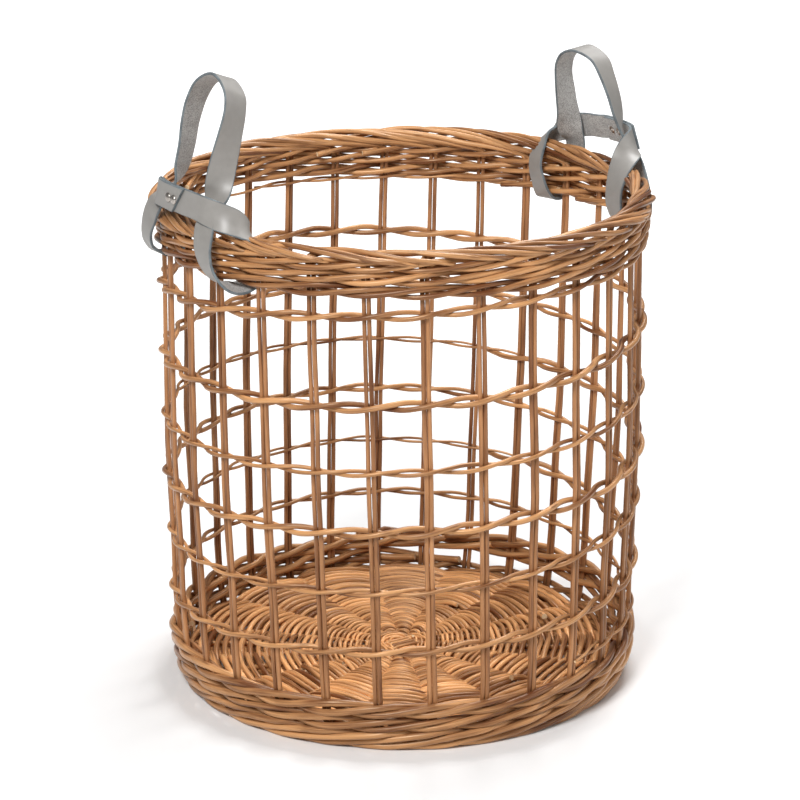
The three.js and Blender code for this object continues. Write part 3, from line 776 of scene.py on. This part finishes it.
base = {
    "height": 0.013,
    "stickRadius": 0.0025,
    "stickSteps": 22,
    "sticks": 4,
    "spokes": 16,
    "openAt": 0.022,          # where the bundles begin to open
    "openTo": 0.05,
    "reach": 0.2125,
    "eye": 0.0125,            # where the weaving starts
    "edge": 0.2105,
    "slit": (0.011, 0.02),    # where the split halves come together again
    "slitRise": 0.0034,       # of the split halves over and under the threaded sticks
    "slitThin": 0.62,         # radius of a split half, as a share of its stick's
    "sides": 8,
    "openRadius": 0.026,      # from here on all spokes are woven singly
    "pitchInside": 0.0040,
    "pitchGrowth": 0.034,     # how much wider each round is than the one before, by its radius
    "pitchMost": 0.0086,
    "fullness": 0.33,         # radius of a rod, as a share of the round's width
    "closeness": 0.9,         # of the rods to the spokes, in radii of a rod
    "twine": 0.26,            # how far the pair's rods lie from the round's middle, as a share of its width
    "roundness": 0.7,         # below 1, the rods turn over the spokes more squarely
    "rodTurns": (0.9, 0.21),  # how often a rod goes round, at which radius
    "mostTurns": (3.2, 0.045),  # at most, and the least radius that counts for it
    "rodLengths": (0.8, 1.15),
    "taper": (1.1, 0.2),      # thickness at a rod's start, and what it loses
    "leftOver": 0.02,         # turns at the edge that are too short for a rod
    "rodGap": 0.002,          # turns between one rod's end and the next one's start
    "stepsPerSpoke": 8,
    "uneven": 0.0021,
    "endRise": 0.0035,        # how far a rod's cut end sticks up
    "endSteps": 5,
    "stickTints": (0.2, 0.6),
    "tints": (0.15, 0.8),
}


def spokeAngles(bundleAngle):
    step = 90 / base["sticks"]
    return [bundleAngle + step * (i - (base["sticks"] - 1) / 2) for i in range(base["sticks"])]


def stickPoints(bundleAngle, number, layer):
    # from one rim of the base through the bundle to the other, on one layer of the slit
    points = []
    middle = (number - (base["sticks"] - 1) / 2) * base["stickRadius"] * 2
    steps = base["stickSteps"]
    near, far = spokeAngles(bundleAngle + 180)[base["sticks"] - 1 - number], spokeAngles(bundleAngle)[number]
    along = polar(bundleAngle, 1.0)
    across = polar(bundleAngle + 90, 1.0)
    for i in range(-steps, steps + 1):
        radius = base["reach"] * abs(i) / steps
        straight = along * (radius if i >= 0 else -radius) + across * middle
        fanned = polar(far if i >= 0 else near, radius)
        point = straight.lerp(fanned, smoothStep(base["openAt"], base["openTo"], radius))
        split = layer * base["slitRise"] * (1 - smoothStep(*base["slit"], radius))
        points.append(point + up * (base["height"] + split))
    return points


def makeSticks(name, node, bundleAngle, layers, seedBase):
    rods = []
    dice = random.Random(seedBase)
    for number in range(base["sticks"]):
        for layer in layers:
            points = stickPoints(bundleAngle, number, layer)
            thin = base["slitThin"] if layer else 1.0
            shares = [smoothStep(*base["slit"], math.hypot(point.x, point.y)) for point in points]
            radii = [base["stickRadius"] * (thin + (1 - thin) * share) for share in shares]
            tint = dice.uniform(*base["stickTints"])
            rods.append(rodObject(points, radii, base["sides"], seedBase * 0.3 + number, tint))
    # the sticks take the base's finish, whose paler colour is painted light
    joinRods(name, rods, finish["willowBaseWithPaintedLight"], node)


def roundRadii():
    # radius of the weaving after each full round, out from the eye
    radii = [base["eye"]]
    while radii[-1] < base["edge"]:
        grown = base["pitchInside"] + base["pitchGrowth"] * (radii[-1] - base["eye"])
        radii.append(radii[-1] + min(grown, base["pitchMost"]))
    scale = (base["edge"] - base["eye"]) / (radii[-1] - base["eye"])
    return [base["eye"] + (radius - base["eye"]) * scale for radius in radii]


def basePoint(turns, rounds, strand, seed):
    # a rod's place and thickness at a number of turns from the eye: over one spoke and under the next
    i = min(int(turns), len(rounds) - 2)
    pitch = rounds[i + 1] - rounds[i]
    radius = rounds[i] + pitch * (turns - i)
    angle = 360 * turns
    thick = pitch * base["fullness"]
    lift = base["stickRadius"] + thick * base["closeness"]
    # near the eye the rod goes over whole bundles, of which there are four
    isSingle = radius > base["openRadius"]
    spokes = base["spokes"] if isSingle else 4
    phase = math.pi * (angle - (spokeAngles(0)[0] if isSingle else 0)) / (360 / spokes) + math.pi * strand
    over = math.cos(phase)
    swell = math.copysign(abs(over) ** base["roundness"], over)
    side = math.sin(phase) * pitch * base["twine"]
    height = base["height"] + swell * lift + wander(seed + 2, turns * 14, base["uneven"] * 0.5)
    return polar(angle, radius + side + wander(seed, turns * 13, base["uneven"]), height), thick


def makeBaseWeave():
    rounds = roundRadii()
    total = len(rounds) - 1.0
    dice = random.Random(500)
    butt, loss = base["taper"]
    turnsThere, there = base["rodTurns"]
    mostTurns, leastRadius = base["mostTurns"]
    rods = []
    for strand in (0, 1):
        turned = 0.0
        while turned < total - base["leftOver"]:
            # all rods are about as long, so one goes round less often further out
            radius = max(rounds[min(int(turned), len(rounds) - 2)], leastRadius)
            length = min(turnsThere * (there / radius), mostTurns) * dice.uniform(*base["rodLengths"])
            end = min(turned + length, total)
            seed = 500 + len(rods) * 1.9
            count = max(int((end - turned) * base["spokes"] * base["stepsPerSpoke"]), 6)
            points, radii = [], []
            for k in range(count + 1):
                share = k / count
                point, thick = basePoint(turned + (end - turned) * share, rounds, strand, seed)
                loose = 1 - smoothStep(0, base["endSteps"], k)
                points.append(point + up * (base["endRise"] * loose))
                radii.append(thick * (butt - loss * share) * (1 + wander(seed, share * 9, 0.2)))
            rods.append(rodObject(points, radii, base["sides"], seed * 0.7, dice.uniform(*base["tints"])))
            turned = end + base["rodGap"]
    # the weave takes the base's finish, whose paler colour is painted light
    joinRods("baseWeaveRods", rods, finish["willowBaseWithPaintedLight"], "base_weave")
    return len(rods), len(rounds) - 1


makeSticks("slitSticks", "base_sticks_slit", 0, (-1, 1), 30)
makeSticks("threadedSticks", "base_sticks_threaded", 90, (0,), 34)
print("basket: base, rods and rounds", makeBaseWeave())


# Weavers: pairs of rods twisted round the stakes, up the wall in one spiral

weaving = {
    "startAngle": -32.0,
    # height of the spiral over the foot, a quarter turn apart
    "rises": (0.0215, 0.0475, 0.0395, 0.0505, 0.0695, 0.1045, 0.0985, 0.1085, 0.1315, 0.1605, 0.1555, 0.1655,
              0.1835, 0.2125, 0.2135, 0.2215, 0.2425, 0.2715, 0.2745, 0.2825, 0.3065, 0.3275, 0.3405, 0.3650,
              0.3812, 0.3848, 0.3850),
    "joins": (-55, 420, 1140, 1860, 2305),  # degrees from startAngle where new rods begin
    # a rod's radius where it starts and where it ends, and how it grows; the last pair thins under the upper wale
    "sizes": ((0.00125, 0.0026, 0.7), (0.00115, 0.0027, 0.7), (0.00115, 0.0028, 0.7), (0.0028, 0.0012, 1.6)),
    "tight": 1.06,            # height of a crossing, in radii of a rod
    "hug": 1.04,              # distance from the stakes' middles, in radii of both
    "roundness": 0.8,         # below 1, the rods turn round the stakes more squarely
    "stepsPerPair": 12,
    "sides": 10,
    "overlap": 0.3,           # pairs that a rod's thick end runs on past its join
    "tipOverlap": 1.4,        # pairs that the next rod's tip starts before it
    "uneven": 0.0013,
    "unevenSize": 0.09,       # share by which a rod's thickness wanders
    "tints": (0.2, 0.62),
}
weavingOffset = basket["firstPair"] - weaving["startAngle"]


def spiralHeight(turned):
    rises = weaving["rises"]
    last = len(rises) - 1
    place = turned / 90
    i = min(max(math.floor(place), 0), last - 1)
    t = place - i
    low, high = rises[i], rises[i + 1]
    if t < 0:
        rise = low + t * (high - low) * 0.6
    elif t > 1:
        rise = high + (t - 1) * (high - low)
    else:
        before = rises[i - 1] if i > 0 else 2 * low - high
        after = rises[i + 2] if i + 2 <= last else 2 * high - low
        rise = easeThrough(before, low, high, after, t)
    return basket["footTop"] + rise


def weaverPoints(first, last, strand, radii, seed):
    # first and last count stake pairs from the first one, which stands at 0
    points = []
    for i, radius in enumerate(radii):
        place = first + (last - first) * i / (len(radii) - 1)
        turned = weavingOffset + place * pairStep
        row = spiralHeight(turned)
        phase = math.pi * (place + strand)
        across = math.cos(phase)
        swell = math.copysign(abs(across) ** weaving["roundness"], across)
        out = (basket["stakeRadius"] + radius) * swell * weaving["hug"]
        out += wander(seed + 4, place * 0.9, weaving["uneven"] * 0.4)
        lift = radius * weaving["tight"] * math.sin(phase)
        height = row + lift + wander(seed, place * 0.8, weaving["uneven"])
        angle = weaving["startAngle"] + turned + leanAt(row)
        points.append(polar(angle, wallRadius(row) + out, height))
    return points


def makeWeavers():
    joins = weaving["joins"]
    dice = random.Random(600)
    for number in range(len(joins) - 1):
        for strand, letter in ((0, "a"), (1, "b")):
            seed = 600 + number * 7 + strand * 3
            first = math.ceil((joins[number] + 1 - weavingOffset) / pairStep)
            last = math.floor((joins[number + 1] - 1 - weavingOffset) / pairStep)
            # tips first: they lie beside the thick ends of the rods before them, which stop a pair apart
            first -= weaving["tipOverlap"] * (number > 0)
            last += weaving["overlap"] + (strand - 0.5)
            steps = int((last - first) * weaving["stepsPerPair"])
            begins, ends, growth = weaving["sizes"][number]
            radii = [(begins + (ends - begins) * (i / steps) ** growth)
                     * (1 + wander(seed, i * 0.11, weaving["unevenSize"])) for i in range(steps + 1)]
            points = weaverPoints(first, last, strand, radii, seed)
            rod = rodObject(points, radii, weaving["sides"], seed * 0.9, dice.uniform(*weaving["tints"]))
            label = "%d%s" % (number + 1, letter)
            joinRods("weaverRod_" + label, [rod], finish["willowRod"], "weaver_" + label)


makeWeavers()
print("basket: weavers")


# Handles: one closed leather strap each, hitched round the rim under its own ends

strap = {
    "width": 0.025,
    "thickness": 0.0026,
    "corner": 0.0006,         # rounding of the strap's edges
    "steps": 8,               # for each station of the route
    "bridge": (0.05, 0.228, 0.12),  # half its length, its least radius, and its share of the route's stations
    "gap": 0.0001,            # between the two layers on the bridge
    "leaves": 0.012,          # over this length a layer leaves the other one's place
    "slantFrom": -0.01,       # place from which a slanting end turns
    "sharp": 38,              # faces that meet at a wider angle meet in a sharp edge
}


def onRim(angle, radius, height, along, outwards, upwards, skew=0.0):
    # a station: its place by the angle from the handle's middle, then the way that the smooth side faces
    turn = math.radians(angle)
    c, s = math.cos(turn), math.sin(turn)
    return (radius * s, radius * c, height, along * c + outwards * s, outwards * c - along * s, upwards, skew)


def onLeg(along, out, height, turned, upwards=0.0):
    # turned: how far the smooth side has turned from outwards to the side, in degrees
    return (along, out, height, math.sin(math.radians(turned)), math.cos(math.radians(turned)), upwards, 0.0)


# Each route runs from the bridge's middle over the rim's crest, down its inside and up its outside, through
# the loop, down the outside on the other side, up the inside, over the crest and back to the bridge.
# The route's stations fold the loop hingeInset inside the crest's middle and bend the leather from bendFrom to
# bendTo, in height; those three values record this.
# The ends lie on the bridge at firstEnd and secondEnd, and endSlant is how slantwise the outer one is cut.
handles = {
    "left": {
        "angle": 180, "hingeInset": 0.0117, "bendFrom": 0.5075, "bendTo": 0.5290,
        "firstEnd": -0.034, "secondEnd": 0.0163, "outerLayer": "second", "rivets": (-0.0005, 0.0092),
        "endSlant": -0.8,
        "route": (
            onRim(0, 0.2405, 0.4963, 0, 1, 0), onRim(4.6, 0.2405, 0.4958, 0, 1, 0),
            onRim(9, 0.2402, 0.4948, 0, 1, 0), onRim(12.3, 0.2392, 0.4925, 0, 1, 0.15),
            onRim(15.3, 0.2345, 0.4885, 0.1, 0.9, 0.42), onRim(17.8, 0.2275, 0.4840, 0.3, 0.65, 0.65),
            onRim(19.7, 0.2195, 0.4760, 0.5, 0.1, 0.8), onRim(20, 0.2125, 0.4650, 0.4, -0.75, 0.5),
            onRim(19.4, 0.2085, 0.4530, 0.05, -1, 0), onRim(18.9, 0.2090, 0.4400, 0, -1, -0.1),
            onRim(18.6, 0.2115, 0.4310, 0, -0.8, -0.6), onRim(18.4, 0.2180, 0.4256, -0.1, 0, -1),
            onRim(17.6, 0.2290, 0.4252, -0.3, 0.15, -1), onRim(15.8, 0.2375, 0.4306, -0.45, 0.6, -0.65),
            onRim(13.2, 0.2415, 0.4410, -0.35, 0.9, -0.2), onRim(11.8, 0.2425, 0.4550, -0.15, 1, 0),
            onRim(11.6, 0.2415, 0.4680, -0.05, 1, 0), onRim(11.6, 0.2375, 0.4820, 0, 1, 0.1),
            (0.0405, 0.2190, 0.4975, 0.35, 0.94, 0.05, 0), onLeg(0.0385, 0.2140, 0.5130, 52),
            onLeg(0.0372, 0.2085, 0.5310, 74), onLeg(0.0372, 0.2020, 0.5530, 92),
            onLeg(0.0355, 0.1955, 0.5740, 102, 0.05), (0.0280, 0.1918, 0.5895, 0.85, -0.3, 0.5, 0),
            (0.0040, 0.1895, 0.5990, 0, -0.36, 0.93, 0), (-0.0225, 0.1915, 0.5915, -0.75, 0, 0.65, 0),
            onLeg(-0.0355, 0.1955, 0.5740, -76, 0.1), onLeg(-0.0390, 0.2005, 0.5535, -68),
            onLeg(-0.0385, 0.2050, 0.5320, -63), onLeg(-0.0388, 0.2105, 0.5130, -56),
            (-0.0390, 0.2180, 0.4975, -0.45, 0.9, 0.05, 0), onRim(-11, 0.2370, 0.4820, 0, 1, 0.1),
            onRim(-13, 0.2410, 0.4690, 0.1, 1, 0), onRim(-14.8, 0.2430, 0.4560, 0.1, 1, 0),
            onRim(-16.2, 0.2420, 0.4430, 0.15, 1, -0.15), onRim(-17.4, 0.2370, 0.4335, 0.2, 0.8, -0.6),
            onRim(-18.2, 0.2290, 0.4265, 0.1, 0.2, -1), onRim(-18.4, 0.2180, 0.4258, 0, 0, -1),
            onRim(-18, 0.2110, 0.4310, 0, -0.8, -0.6), onRim(-16.2, 0.2085, 0.4430, 0, -1, 0),
            onRim(-13.6, 0.2085, 0.4580, 0, -1, 0), onRim(-11.6, 0.2115, 0.4720, -0.15, -0.95, 0.25, -0.15),
            onRim(-10.6, 0.2175, 0.4825, -0.45, -0.5, 0.7, -0.6), onRim(-10, 0.2265, 0.4890, -0.55, 0.2, 0.8, -0.95),
            onRim(-8.8, 0.2350, 0.4930, -0.35, 0.75, 0.5, -1.05), onRim(-6.2, 0.2395, 0.4958, 0, 1, 0.1, -0.6),
            onRim(-3, 0.2403, 0.4965, 0, 1, 0, -0.1)),
    },
    "right": {
        "angle": 0, "hingeInset": 0.0067, "bendFrom": 0.5135, "bendTo": 0.5360,
        "firstEnd": -0.0425, "secondEnd": 0.0085, "outerLayer": "first", "rivets": (-0.0028, -0.0142),
        "endSlant": 0.0,
        "route": (
            onRim(1, 0.2408, 0.5020, 0, 1, 0.33), onRim(7.2, 0.2405, 0.5012, 0, 1, 0.33),
            onRim(11, 0.2402, 0.4988, 0, 1, 0.3), onRim(13.8, 0.2392, 0.4960, 0, 1, 0.3, 0.2),
            onRim(16.2, 0.2365, 0.4925, 0.05, 0.95, 0.4, 0.5), onRim(18, 0.2300, 0.4890, 0.25, 0.65, 0.7, 0.6),
            onRim(18.8, 0.2210, 0.4845, 0.5, 0, 0.85, 0.4), onRim(18.9, 0.2130, 0.4745, 0.45, -0.75, 0.45, 0.1),
            onRim(18.2, 0.2055, 0.4580, 0.42, -0.9, 0), onRim(16.9, 0.2055, 0.4430, 0.35, -0.93, -0.1),
            onRim(16.3, 0.2090, 0.4325, 0.15, -0.8, -0.6), onRim(16.2, 0.2165, 0.4262, 0, 0, -1),
            onRim(16.2, 0.2280, 0.4262, 0, 0.1, -1), onRim(16, 0.2370, 0.4330, 0, 0.85, -0.5),
            onRim(15, 0.2418, 0.4450, 0, 1, 0), onRim(13.4, 0.2418, 0.4610, 0, 1, 0),
            onRim(12.2, 0.2390, 0.4780, 0, 1, 0.05), (0.0460, 0.2235, 0.4960, 0.7, 0.75, 0, 0),
            onLeg(0.0425, 0.2175, 0.5150, 88), onLeg(0.0415, 0.2135, 0.5350, 98),
            onLeg(0.0400, 0.2100, 0.5530, 104), (0.0365, 0.2088, 0.5670, 0.93, -0.2, 0.3, 0),
            (0.0265, 0.2088, 0.5778, 0.6, -0.15, 0.8, 0),
            (0.0090, 0.2105, 0.5828, 0, -0.08, 1, 0), (-0.0140, 0.2125, 0.5765, -0.58, 0.15, 0.78, 0),
            onLeg(-0.0268, 0.2128, 0.5630, -69, 0.3), onLeg(-0.0363, 0.2150, 0.5435, -61),
            onLeg(-0.0395, 0.2190, 0.5240, -50), (-0.0405, 0.2260, 0.5010, -0.4, 0.9, 0, 0),
            onRim(-11.4, 0.2385, 0.4820, 0, 1, 0.05), onRim(-14, 0.2418, 0.4630, 0, 1, 0),
            onRim(-16.6, 0.2418, 0.4460, 0, 1, -0.1), onRim(-18.6, 0.2375, 0.4335, 0, 0.85, -0.5),
            onRim(-19.6, 0.2280, 0.4262, 0, 0.1, -1), onRim(-19.8, 0.2170, 0.4262, 0, 0, -1),
            onRim(-19.6, 0.2095, 0.4330, -0.15, -0.85, -0.5), onRim(-19.8, 0.2055, 0.4470, -0.3, -0.95, -0.1),
            onRim(-19.5, 0.2060, 0.4620, -0.34, -0.94, 0), onRim(-18.4, 0.2110, 0.4765, -0.45, -0.8, 0.4),
            onRim(-16.8, 0.2190, 0.4885, -0.45, -0.2, 0.85), onRim(-14.6, 0.2275, 0.4960, -0.4, 0.45, 0.8),
            onRim(-12.2, 0.2350, 0.5000, -0.15, 0.9, 0.4), onRim(-9.2, 0.2395, 0.5018, 0, 1, 0.3),
            onRim(-4.5, 0.2405, 0.5022, 0, 1, 0.33)),
    },
}
halfStrap = strap["thickness"] / 2


def strapFrames(handle):
    # the whole closed strap, from the bridge's middle round and back to it
    stations = handle["route"]
    outwards, along = polar(handle["angle"], 1.0), polar(handle["angle"] + 90, 1.0)
    rows = []
    for i in range(len(stations)):
        near = [stations[(i + k) % len(stations)] for k in (-1, 0, 1, 2)]
        for k in range(strap["steps"]):
            rows.append([easeThrough(*values, k / strap["steps"]) for values in zip(*near)])
    middles = [along * row[0] + outwards * row[1] + up * row[2] for row in rows]
    halfBridge, least, share = strap["bridge"]
    frames = []
    for i, (place, out, height, faceAlong, faceOut, faceUp, skew) in enumerate(rows):
        forward = (middles[(i + 1) % len(rows)] - middles[i - 1]).normalized()
        facing = along * faceAlong + outwards * faceOut + up * faceUp
        across = forward.cross(facing).normalized()
        isNearEnds = i < len(rows) * share or i > len(rows) * (1 - share)
        frames.append({"middle": middles[i], "slant": across + forward * skew, "smooth": across.cross(forward),
                       "place": place, "bridge": abs(place) < halfBridge and out > least and isNearEnds})
    return frames


def cutAtLap(handle, frames):
    # both ends of the strap lie on the bridge, one layer outside the other
    bridge = sorted((frame for frame in frames if frame["bridge"]), key=lambda frame: frame["place"])
    rest = [frame for frame in frames if not frame["bridge"]]
    first = [frame for frame in bridge if frame["place"] > handle["firstEnd"]]
    second = [frame for frame in bridge if frame["place"] < handle["secondEnd"]]

    def raised(frame, share):
        lift = (strap["thickness"] + strap["gap"]) * share
        return {**frame, "middle": frame["middle"] + frame["smooth"] * lift}

    if handle["outerLayer"] == "first":
        end = handle["secondEnd"]
        first = [raised(frame, 1 - smoothStep(end, end + strap["leaves"], frame["place"])) for frame in first]
    else:
        end = handle["firstEnd"]
        second = [raised(frame, smoothStep(end - strap["leaves"], end, frame["place"])) for frame in second]
        for frame in second:
            ahead = frame["smooth"].cross(frame["slant"]).normalized()
            turned = handle["endSlant"] * smoothStep(strap["slantFrom"], handle["secondEnd"], frame["place"])
            frame["slant"] += ahead * turned
    return first + rest + second


def strapOutline():
    # across the strap: width and thickness of each point, and the material of the side that starts there
    w, t, r = strap["width"] / 2, halfStrap, strap["corner"]
    smoothSide, suedeSide, edge = 0, 1, 2
    return [(-w + r, -t, suedeSide), (-w / 2, -t, suedeSide), (0, -t, suedeSide), (w / 2, -t, suedeSide),
            (w - r, -t, edge), (w, -t + r, edge), (w, t - r, edge),
            (w - r, t, smoothSide), (w / 2, t, smoothSide), (0, t, smoothSide), (-w / 2, t, smoothSide),
            (-w + r, t, edge), (-w, t - r, edge), (-w, -t + r, edge)]


def sweepStrap(name, frames):
    # the cut end's outline is extruded from frame to frame, and both ends are filled
    outline = strapOutline()
    sides = range(len(outline))
    bm = bmesh.new()
    space = bm.verts.layers.float_vector.new("strapSpace")
    along = 0.0

    def setRing(ring, frame):
        for vert, (across, rise, _) in zip(ring, outline):
            vert.co = frame["middle"] + frame["slant"] * across + frame["smooth"] * rise
            vert[space] = (along, across, rise)

    ring = [bm.verts.new((0, 0, 0)) for _ in sides]
    setRing(ring, frames[0])
    edges = [bm.edges.new((ring[i], ring[(i + 1) % len(ring)])) for i in sides]
    ends = bmesh.ops.contextual_create(bm, geom=edges)["faces"]
    for before, frame in zip(frames, frames[1:]):
        along += (frame["middle"] - before["middle"]).length
        grown = bmesh.ops.extrude_edge_only(bm, edges=edges)["geom"]
        newVerts = {item for item in grown if isinstance(item, bmesh.types.BMVert)}
        newEdges = [item for item in grown if isinstance(item, bmesh.types.BMEdge)]
        ring = [next(edge.other_vert(vert) for edge in vert.link_edges if edge.other_vert(vert) in newVerts)
                for vert in ring]
        setRing(ring, frame)
        pairs = [{ring[i], ring[(i + 1) % len(ring)]} for i in sides]
        edges = [next(edge for edge in newEdges if set(edge.verts) == pair) for pair in pairs]
        for edge, (_, _, side) in zip(edges, outline):
            for face in edge.link_faces:
                face.material_index = side
                face.smooth = True
    ends += bmesh.ops.contextual_create(bm, geom=edges)["faces"]
    for face in ends:
        face.material_index = 2
    bmesh.ops.recalc_face_normals(bm, faces=bm.faces)
    piece = meshObject(name, bm, finish["leatherSmooth"], finish["leatherSuede"], finish["leatherEdge"])
    piece.data.set_sharp_from_angle(angle=math.radians(strap["sharp"]))
    return piece


rivet = {
    "head": 0.0042,
    "headHeight": 0.0021,
    "headEdge": 0.0003,       # height of the head's rim under its dome
    "headSteps": 6,
    "washer": 0.0040,
    "shaft": 0.0017,
    # radius, and height under the strap, of the peened end and then of the washer's rounded edge
    "peened": ((0, 0.0018), (0.0009, 0.0017), (0.0016, 0.0012), (0.0017, 0.001),
               (0.0026, 0.001), (0.0031, 0.0008), (0.0040, 0.0003)),
    "gaps": (0.0001, 0.0002), # between the strap and the washer, and between the strap and the head
    "segments": 40,
    "mergeGap": 1e-6,
    "sharp": 40,
}


def rivetOutline(low, high):
    # radius and height: washer and peened end inside, shaft, domed head outside
    points = [(radius, low - depth) for radius, depth in rivet["peened"]]
    points += [(rivet["washer"], low), (rivet["shaft"], low), (rivet["shaft"], high), (rivet["head"], high)]
    dome = rivet["headHeight"] - rivet["headEdge"]
    for i in range(rivet["headSteps"] + 1):
        turn = math.pi / 2 * i / rivet["headSteps"]
        points.append((rivet["head"] * math.cos(turn), high + rivet["headEdge"] + dome * math.sin(turn)))
    return points


def makeRivet(name, node, frame):
    gapInside, gapOutside = rivet["gaps"]
    outline = rivetOutline(-halfStrap - gapInside, halfStrap + strap["thickness"] + gapOutside)
    bm = bmesh.new()
    verts = [bm.verts.new((radius, 0, height)) for radius, height in outline]
    edges = [bm.edges.new(pair) for pair in zip(verts, verts[1:])]
    bmesh.ops.spin(bm, geom=verts + edges, cent=(0, 0, 0), axis=(0, 0, 1), angle=2 * math.pi,
                   steps=rivet["segments"], use_merge=True)
    bmesh.ops.remove_doubles(bm, verts=bm.verts, dist=rivet["mergeGap"])
    bmesh.ops.recalc_face_normals(bm, faces=bm.faces)
    turn = frame["smooth"].to_track_quat("Z", "Y").to_matrix()
    bmesh.ops.rotate(bm, verts=bm.verts, cent=(0, 0, 0), matrix=turn)
    bmesh.ops.translate(bm, verts=bm.verts, vec=frame["middle"])
    for face in bm.faces:
        face.smooth = True
    piece = meshObject(name, bm, nickelMaterial)
    piece.data.set_sharp_from_angle(angle=math.radians(rivet["sharp"]))
    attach(piece, "basket")
    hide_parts(node)


def makeHandle(side):
    handle = handles[side]
    frames = strapFrames(handle)
    piece = sweepStrap(side + "Strap", cutAtLap(handle, frames))
    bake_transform(piece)
    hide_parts(side + "_handle_hitch", side + "_handle_loop")
    bridge = [frame for frame in frames if frame["bridge"]]
    for number, place in enumerate(handle["rivets"], 1):
        frame = min(bridge, key=lambda item: abs(item["place"] - place))
        makeRivet("%sRivet_%d" % (side, number), "%s_rivet_%d" % (side, number), frame)


for side in handles:
    makeHandle(side)
print("basket: straps and rivets")
